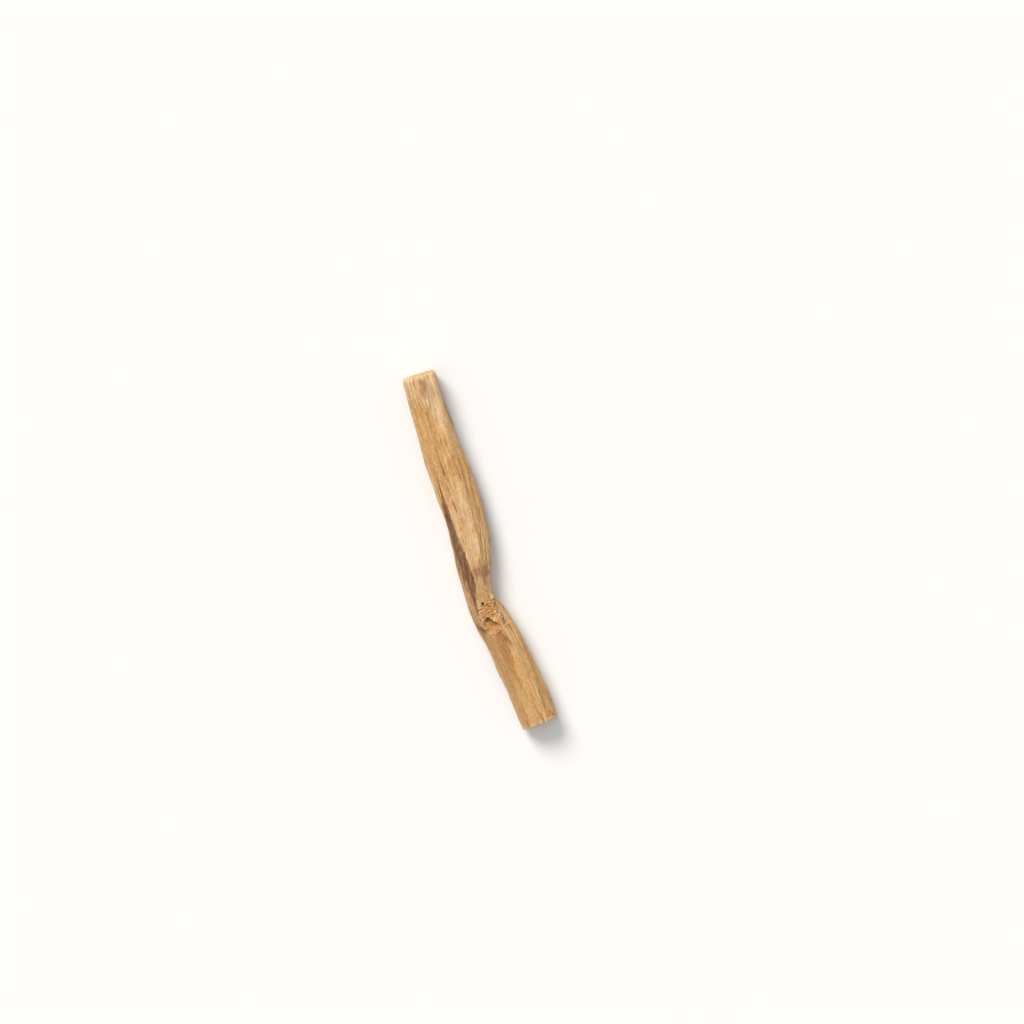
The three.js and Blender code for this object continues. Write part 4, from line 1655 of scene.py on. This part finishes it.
@dataclass
class Stick:
    """The stick itself, as one closed mesh."""

    skin: StickSkin
    split: bpy.types.Material
    sawn: bpy.types.Material
    cap_crack_width: float = 0.07
    saw_score: float = 0.03
    fine_score: float = 0.02
    saw_fuzz: float = 0.05

    def build(self) -> bpy.types.Object:
        """Builds the mesh, dresses it and says what it stands for.

        Returns:
            The stick's object.
        """
        skin = self.skin
        station, angle = np.meshgrid(skin.stations, skin.angles, indexing="ij")
        places = skin.points(station, angle)
        tints = skin.tints(station, angle, places)
        rings = [skin.place(station, places)]
        grain = [skin.grain(station, places)]
        tint = [tints]
        state = [skin.state(places)]
        for upper in (False, True):
            points, straight, cap_shade_state = self.cap(upper, station, angle, places)
            rings.append(points)
            grain.append(straight)
            tint.append(self.cap_tints(tints[-1 if upper else 0], len(points)))
            state.append(cap_shade_state)
        points = np.concatenate([r.reshape(-1, 3) for r in rings])
        faces, regions = self.faces(len(skin.stations), skin.sides, skin.cap_rings)
        mesh = bpy.data.meshes.new("palo_santo_wood")
        mesh.from_pydata((points * MM).tolist(), [], faces)
        mesh.polygons.foreach_set("material_index", regions)
        mesh.polygons.foreach_set("use_smooth", np.ones(len(faces), dtype=bool))
        hold(mesh, "grain", np.concatenate([g.reshape(-1, 3) for g in grain]))
        hold(mesh, "state", np.concatenate([s.reshape(-1, 3) for s in state]))
        hold_tints(mesh, np.concatenate([t.reshape(-1, len(Tint)) for t in tint]))
        mesh.materials.append(self.split)
        mesh.materials.append(self.sawn)
        mesh.validate()
        stick = bpy.data.objects.new("palo_santo_wood", mesh)
        bpy.context.scene.collection.objects.link(stick)
        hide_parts(NODE)
        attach(stick, "root")
        return stick

    def saw_relief(self, across: Array, up: Array) -> Array:
        """Gives how deep the saw left the wood of a sawn end.

        Args:
            across: the places' offsets across from the middle line.
            up: the places' offsets up from the middle line.

        Returns:
            Depths in millimetres.
        """
        scores = self.saw_score * np.sin(5.5 * (0.9 * up + 0.4 * across))
        scores = scores + self.fine_score * np.sin(13.1 * up - 4.0 * across)
        return scores + self.saw_fuzz * PatchNoise(41, 0.35).at(across, up)

    def cap(
        self, upper: bool, station: Array, angle: Array, places: dict[str, Array]
    ) -> tuple[Array, Array, Array]:
        """Works out the points of a sawn end, from its edge inwards to its middle.

        Args:
            upper: whether it is the end with the higher station.
            station: the stations of the side's points.
            angle: the angles of the side's points.
            places: the skin at the side's points.

        Returns:
            The points, their positions in the straight wood and their states, which hold the
            painted shade in the cracks.
        """
        row = -1 if upper else 0
        skin = self.skin
        edge = {name: values[row] for name, values in places.items()}
        edge_station, edge_angle = station[row], angle[row]
        section = skin.form.section(edge_station, edge_angle)
        points, grain, state = [], [], []
        for share in 1 - np.arange(1, skin.cap_rings + 1) / skin.cap_rings:
            across, up = share * edge["across"], share * edge["up"]
            cracked = skin.fine.crack_depth(
                edge_station, edge_angle, skin.form.length, share * section, self.cap_crack_width
            )
            cracked = cracked * smooth(np.array(share), 0.25, 0.7)
            dent = self.saw_relief(across, up) * smooth(1 - share, 0, 0.2) + cracked
            ring = skin.place(edge_station, edge, share)
            ring[:, 0] += -dent if upper else dent
            points.append(ring)
            grain.append(skin.grain(edge_station, {**edge, "across": across, "up": up}))
            none = np.zeros_like(cracked)
            # painted shade in the cracks of the sawn end
            state.append(np.stack([none, smooth(cracked, 0.05, 0.3), none], axis=-1))
        for values in (points, grain, state):
            values[-1] = values[-1].mean(axis=0, keepdims=True)
        return np.concatenate(points), np.concatenate(grain), np.concatenate(state)

    def cap_tints(self, edge: Array, count: int) -> Array:
        """Carries the tints of a sawn end's edge inwards, fading to the middle.

        Args:
            edge: the tints along the edge.
            count: the number of the cap's points.

        Returns:
            The tints of the cap's points.
        """
        rings = self.skin.cap_rings
        shares = 1 - np.arange(1, rings) / rings
        faded = [edge * smooth(np.array(share), 0.2, 1.0) for share in shares]
        middle = np.zeros((count - self.skin.sides * (rings - 1), len(Tint)))
        return np.concatenate([*faded, middle])

    def faces(self, rings: int, sides: int, cap_rings: int) -> tuple[list[list[int]], Array]:
        """Lists the mesh's faces.

        Args:
            rings: the number of rings along the stick.
            sides: the number of points in a ring.
            cap_rings: the number of steps from a sawn end's edge to its middle.

        Returns:
            The faces' corners and each face's region.
        """
        ring, side = np.meshgrid(np.arange(rings - 1), np.arange(sides), indexing="ij")
        beside = (side + 1) % sides
        a, b = ring * sides + side, ring * sides + beside
        quads = np.stack([a, b, b + sides, a + sides], axis=-1).reshape(-1, 4)
        faces = quads.tolist()
        regions = [Region.SPLIT.value] * len(faces)
        here = np.arange(sides)
        there = (here + 1) % sides
        start = rings * sides
        cap_points = sides * (cap_rings - 1) + 1
        for upper in (False, True):
            base = start + cap_points * upper
            outer = (rings - 1) * sides * upper
            for step in range(cap_rings - 1):
                inner = base + step * sides
                corners = [outer + here, outer + there, inner + there, inner + here]
                faces += np.stack(corners if upper else corners[::-1], axis=-1).tolist()
                outer = inner
            middle = np.full(sides, base + cap_points - 1)
            fan = [outer + here, outer + there, middle]
            faces += np.stack(fan if upper else fan[::-1], axis=-1).tolist()
        regions += [Region.SAWN.value] * (len(faces) - len(regions))
        return faces, np.array(regions, dtype=np.int32)


@dataclass(frozen=True)
class SplinterPatch:
    """A patch of splinters: how many there are, where they root and how they stand.

    The ranges of length, width and lift are in millimetres. The angles and the turn away from the
    grain are in degrees.
    """

    count: int
    stations: tuple[float, float]
    angles: tuple[float, float]
    length: tuple[float, float]
    width: tuple[float, float]
    lift: tuple[float, float]
    turn: float
    torn: float


@dataclass
class Splinters:
    """The loose splinters and hairs of torn fibre, each a thin tapered blade rooted in the wood."""

    skin: StickSkin
    finish: bpy.types.Material
    seed: int = 7
    steps: int = 7
    root_depth: float = 0.12
    bend: float = 1.5
    mean_reach: float = 4.9
    end_reach: float = 1
    outline: Points = ((1, 0), (0, 0.45), (-1, 0), (0, -0.45))
    patches: Sequence[SplinterPatch] = (
        SplinterPatch(130, (7.5, 92.5), (-25, 205), (1.5, 6.0), (0.04, 0.11), (0.02, 0.1), 3, 0.0),
        SplinterPatch(60, (7, 93), (205, 335), (1.5, 5.0), (0.04, 0.1), (0.02, 0.08), 3, 0.0),
        SplinterPatch(46, (31.2, 36.0), (55, 105), (0.4, 0.9), (0.05, 0.11), (0.04, 0.2), 55, 0.8),
        SplinterPatch(30, (27.0, 31.0), (20, 110), (0.4, 1.0), (0.04, 0.1), (0.04, 0.18), 40, 0.6),
        SplinterPatch(26, (0.3, 0.8), (-30, 210), (0.3, 0.75), (0.05, 0.12), (0, 0.08), 14, 0.4),
        SplinterPatch(26, (99.2, 99.7), (-30, 210), (0.3, 0.75), (0.05, 0.12), (0, 0.08), 14, 0.4),
    )

    def build(self) -> bpy.types.Object:
        """Builds all the splinters as one mesh of closed blades.

        Returns:
            The splinters' object.
        """
        rng = np.random.default_rng(self.seed)
        blades = [self.blades(patch, rng) for patch in self.patches]
        points, grain, tint, state = (np.concatenate(parts) for parts in zip(*blades))
        faces = self.faces(len(points))
        mesh = bpy.data.meshes.new("torn_fibres")
        mesh.from_pydata((points.reshape(-1, 3) * MM).tolist(), [], faces)
        mesh.polygons.foreach_set("use_smooth", np.ones(len(faces), dtype=bool))
        hold(mesh, "grain", grain.reshape(-1, 3))
        hold(mesh, "state", state.reshape(-1, 3))
        hold_tints(mesh, tint.reshape(-1, len(Tint)))
        mesh.materials.append(self.finish)
        splinters = bpy.data.objects.new("torn_fibres", mesh)
        bpy.context.scene.collection.objects.link(splinters)
        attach(splinters, "root")
        return splinters

    def faces(self, count: int) -> list[list[int]]:
        """Lists the faces of all the blades.

        Args:
            count: the number of blades.

        Returns:
            The faces' corners.
        """
        corners = len(self.outline)
        ring = np.arange(corners)
        beside = (ring + 1) % corners
        faces = []
        for blade in range(count):
            base = blade * (corners * self.steps + 1)
            for step in range(self.steps - 1):
                here = base + step * corners
                rows = [here + ring, here + beside, here + corners + beside, here + corners + ring]
                faces += np.stack(rows, axis=-1).tolist()
            last = base + (self.steps - 1) * corners
            tip = base + self.steps * corners
            faces += [[last + a, last + b, tip] for a, b in zip(ring.tolist(), beside.tolist())]
            faces.append((base + ring[::-1]).tolist())
        return faces

    def blades(
        self, patch: SplinterPatch, rng: np.random.Generator
    ) -> tuple[Array, Array, Array, Array]:
        """Works out the blades of a patch.

        Args:
            patch: the patch.
            rng: the source of chance.

        Returns:
            The blades' points, their places in the straight wood, their tints and their states.
        """
        form = self.skin.form
        count = patch.count
        station = rng.uniform(*patch.stations, count)[:, None]
        angle = np.radians(rng.uniform(*patch.angles, count))[:, None]
        length = rng.uniform(*patch.length, count)[:, None]
        width = rng.uniform(*patch.width, count)[:, None]
        lift = rng.uniform(*patch.lift, count)[:, None]
        turn = np.radians(rng.uniform(-patch.turn, patch.turn, count))[:, None]
        towards = np.where(rng.uniform(0, 1, count) < 0.5, -1.0, 1.0)[:, None]
        if patch.stations[1] < self.end_reach:
            towards = -np.ones((count, 1))
        if patch.stations[0] > form.length - self.end_reach:
            towards = np.ones((count, 1))
        share = np.linspace(0, 1, self.steps + 1)[None, :]
        stations = station + towards * length * share * np.cos(turn)
        angles = angle + length * share * np.sin(turn) / self.mean_reach
        inner = np.clip(stations, 0, form.length)
        skin = self.skin.points(inner, angles)
        middle = self.skin.place(inner, skin)
        middle[..., 0] += stations - inner
        out = np.stack([np.zeros_like(angles), np.cos(angles), np.sin(angles)], axis=-1)
        beside = np.stack([np.zeros_like(angles), -np.sin(angles), np.cos(angles)], axis=-1)
        height = (lift + self.root_depth) * share**self.bend - self.root_depth
        half = width * np.sqrt(np.maximum(1 - share, 0)) * (0.7 + 0.3 * np.cos(3 * share))
        middle = middle + out * height[..., None]
        points = []
        for across, up in self.outline:
            offset = half[..., None] * (across * beside + up * out)
            points.append((middle + offset)[:, : self.steps])
        body = np.stack(points, axis=2).reshape(count, -1, 3)
        points = np.concatenate([body, middle[:, self.steps :]], axis=1)
        points[..., 2] = np.maximum(points[..., 2], 0)
        values = []
        tints = self.skin.tints(inner, angles, skin)
        state = self.skin.state(skin)
        state[..., 0] = np.maximum(state[..., 0], patch.torn)
        for value in (self.skin.grain(stations, skin), tints, state):
            body = np.repeat(value[:, : self.steps], len(self.outline), axis=1)
            values.append(np.concatenate([body, value[:, self.steps :]], axis=1))
        return points, *values


@dataclass(frozen=True)
class SoftLight:
    """A soft light from a side given as shares of the picture's up, its right and overhead.

    Its spread is in degrees, as seen from the stick, and its strength in watts a square metre.
    """

    name: str
    up: float
    right: float
    overhead: float
    spread: float
    strength: float
    color: Color


@dataclass
class Studio:
    """The pale floor, the soft lights and the camera at the photograph's viewing angle.

    The ends are where the photograph shows them, in pixels from its top left corner.
    """

    form: SplitForm
    pixels_per_mm: float = 3.70
    image_size: float = 1024
    lower_end: tuple[float, float] = (539, 721)
    upper_end: tuple[float, float] = (420.5, 377)
    lower_station: float = 1.1
    aim_height: float = 5.0
    camera_distance: float = 900.0
    camera_sensor: float = 36
    camera_clip: tuple[float, float] = (0.01, 40)
    tilt: float = 4.0
    floor_size: float = 24.0
    floor_drop: float = 0.02
    floor_color: Color = srgb("F1F1F1")
    floor_roughness: float = 0.9
    floor_gloss: float = 0.1
    sky_color: Color = srgb("FFFFFF")
    sky_strength: float = 0.42
    lights: Sequence[SoftLight] = (
        SoftLight("key", 0.75, -0.5, 0.85, 27, 2.52, srgb("FFFCF8")),
        SoftLight("fill", 0.2, -0.2, 1.3, 50, 0.54, srgb("FFFFFF")),
    )

    def build(self) -> None:
        """Builds the floor, the lights and the camera."""
        self.build_floor()
        self.build_lights()
        self.build_camera()

    def build_floor(self) -> None:
        """Lays a pale matte floor under the stick."""
        mesh = bpy.data.meshes.new("floor")
        half = self.floor_size / 2
        corners = [(-half, -half, 0), (half, -half, 0), (half, half, 0), (-half, half, 0)]
        mesh.from_pydata(corners, [], [(0, 1, 2, 3)])
        material, w, shader = new_material("pale_floor")
        w.feed(shader, {
            "Base Color": self.floor_color, "Roughness": self.floor_roughness,
            "Specular IOR Level": self.floor_gloss,
        })
        mesh.materials.append(material)
        floor = bpy.data.objects.new("floor", mesh)
        floor.location.z = -self.floor_drop * MM
        bpy.context.scene.collection.objects.link(floor)

    def image_axes(self) -> tuple[Vector, Vector, Vector]:
        """Works out how the photograph lies over the stick.

        Returns:
            The directions of the picture's right and up in the frame, and the point under its
            middle.
        """
        (low_x, low_y), (high_x, high_y) = self.lower_end, self.upper_end
        along_stick = Vector((high_x - low_x, low_y - high_y)).normalized()
        lean = math.atan2(-along_stick.x, along_stick.y)
        up = Vector((math.cos(lean), -math.sin(lean), 0))
        right = Vector((-math.sin(lean), -math.cos(lean), 0))
        middle = self.image_size / 2
        offset = Vector((middle - low_x, low_y - middle)) / self.pixels_per_mm
        x, y = self.lower_station - self.form.length / 2, -self.form.sideways_middle
        start = Vector((x, y, self.aim_height))
        return right, up, start + right * offset.x + up * offset.y

    def build_camera(self) -> None:
        """Hangs the camera over the stick, which falls where the photograph shows it."""
        right, up, aim = self.image_axes()
        tilt = math.radians(self.tilt)
        back = Vector((0, 0, math.cos(tilt))) + up * math.sin(tilt)
        top = up * math.cos(tilt) - Vector((0, 0, math.sin(tilt)))
        data = bpy.data.cameras.new("camera")
        data.sensor_width = self.camera_sensor
        data.lens = data.sensor_width * self.camera_distance * self.pixels_per_mm / self.image_size
        data.clip_start, data.clip_end = self.camera_clip
        camera = bpy.data.objects.new("camera", data)
        turn = Matrix((right, top, back)).transposed().to_4x4()
        place = (aim + back * self.camera_distance) * MM
        camera.matrix_world = Matrix.Translation(place) @ turn
        bpy.context.scene.collection.objects.link(camera)
        bpy.context.scene.camera = camera

    def add_light(self, lamp: SoftLight, place: Vector) -> None:
        """Shines soft light on the stick, as from a wide and distant window.

        Args:
            lamp: the light.
            place: the side that it comes from, in the frame.
        """
        data = bpy.data.lights.new(lamp.name, "SUN")
        data.angle = math.radians(lamp.spread)
        data.energy = lamp.strength
        data.color = lamp.color[:3]
        light = bpy.data.objects.new(lamp.name, data)
        light.location = place
        light.rotation_mode = "QUATERNION"
        light.rotation_quaternion = (-place).to_track_quat("-Z", "Y")
        bpy.context.scene.collection.objects.link(light)

    def build_lights(self) -> None:
        """Lights the stick softly, from the top left of the picture above all."""
        right, up, _ = self.image_axes()
        for lamp in self.lights:
            side = up * lamp.up + right * lamp.right
            self.add_light(lamp, side + Vector((0, 0, 1)) * lamp.overhead)
        world = bpy.data.worlds.new("studio")
        world.use_nodes = True
        sky = {"Color": self.sky_color, "Strength": self.sky_strength}
        Wiring(world.node_tree).feed(world.node_tree.nodes["Background"], sky)
        bpy.context.scene.world = world
        bpy.context.scene.view_settings.view_transform = "Standard"


def main() -> None:
    """Builds the stick and the studio, and reports each piece."""
    logging.basicConfig(level=logging.INFO, format="%(message)s")
    effects = WoodEffects()
    effects.build()
    skin = StickSkin()
    split = SplitFinish(effects).build()
    sawn = SawnFinish(effects).build()
    pieces = (Stick(skin, split, sawn).build(), Splinters(skin, split).build())
    for piece in pieces:
        log.info("%s: %d faces", piece.name, len(piece.data.polygons))
    Studio(skin.form).build()


if __name__ == "__main__":
    main()
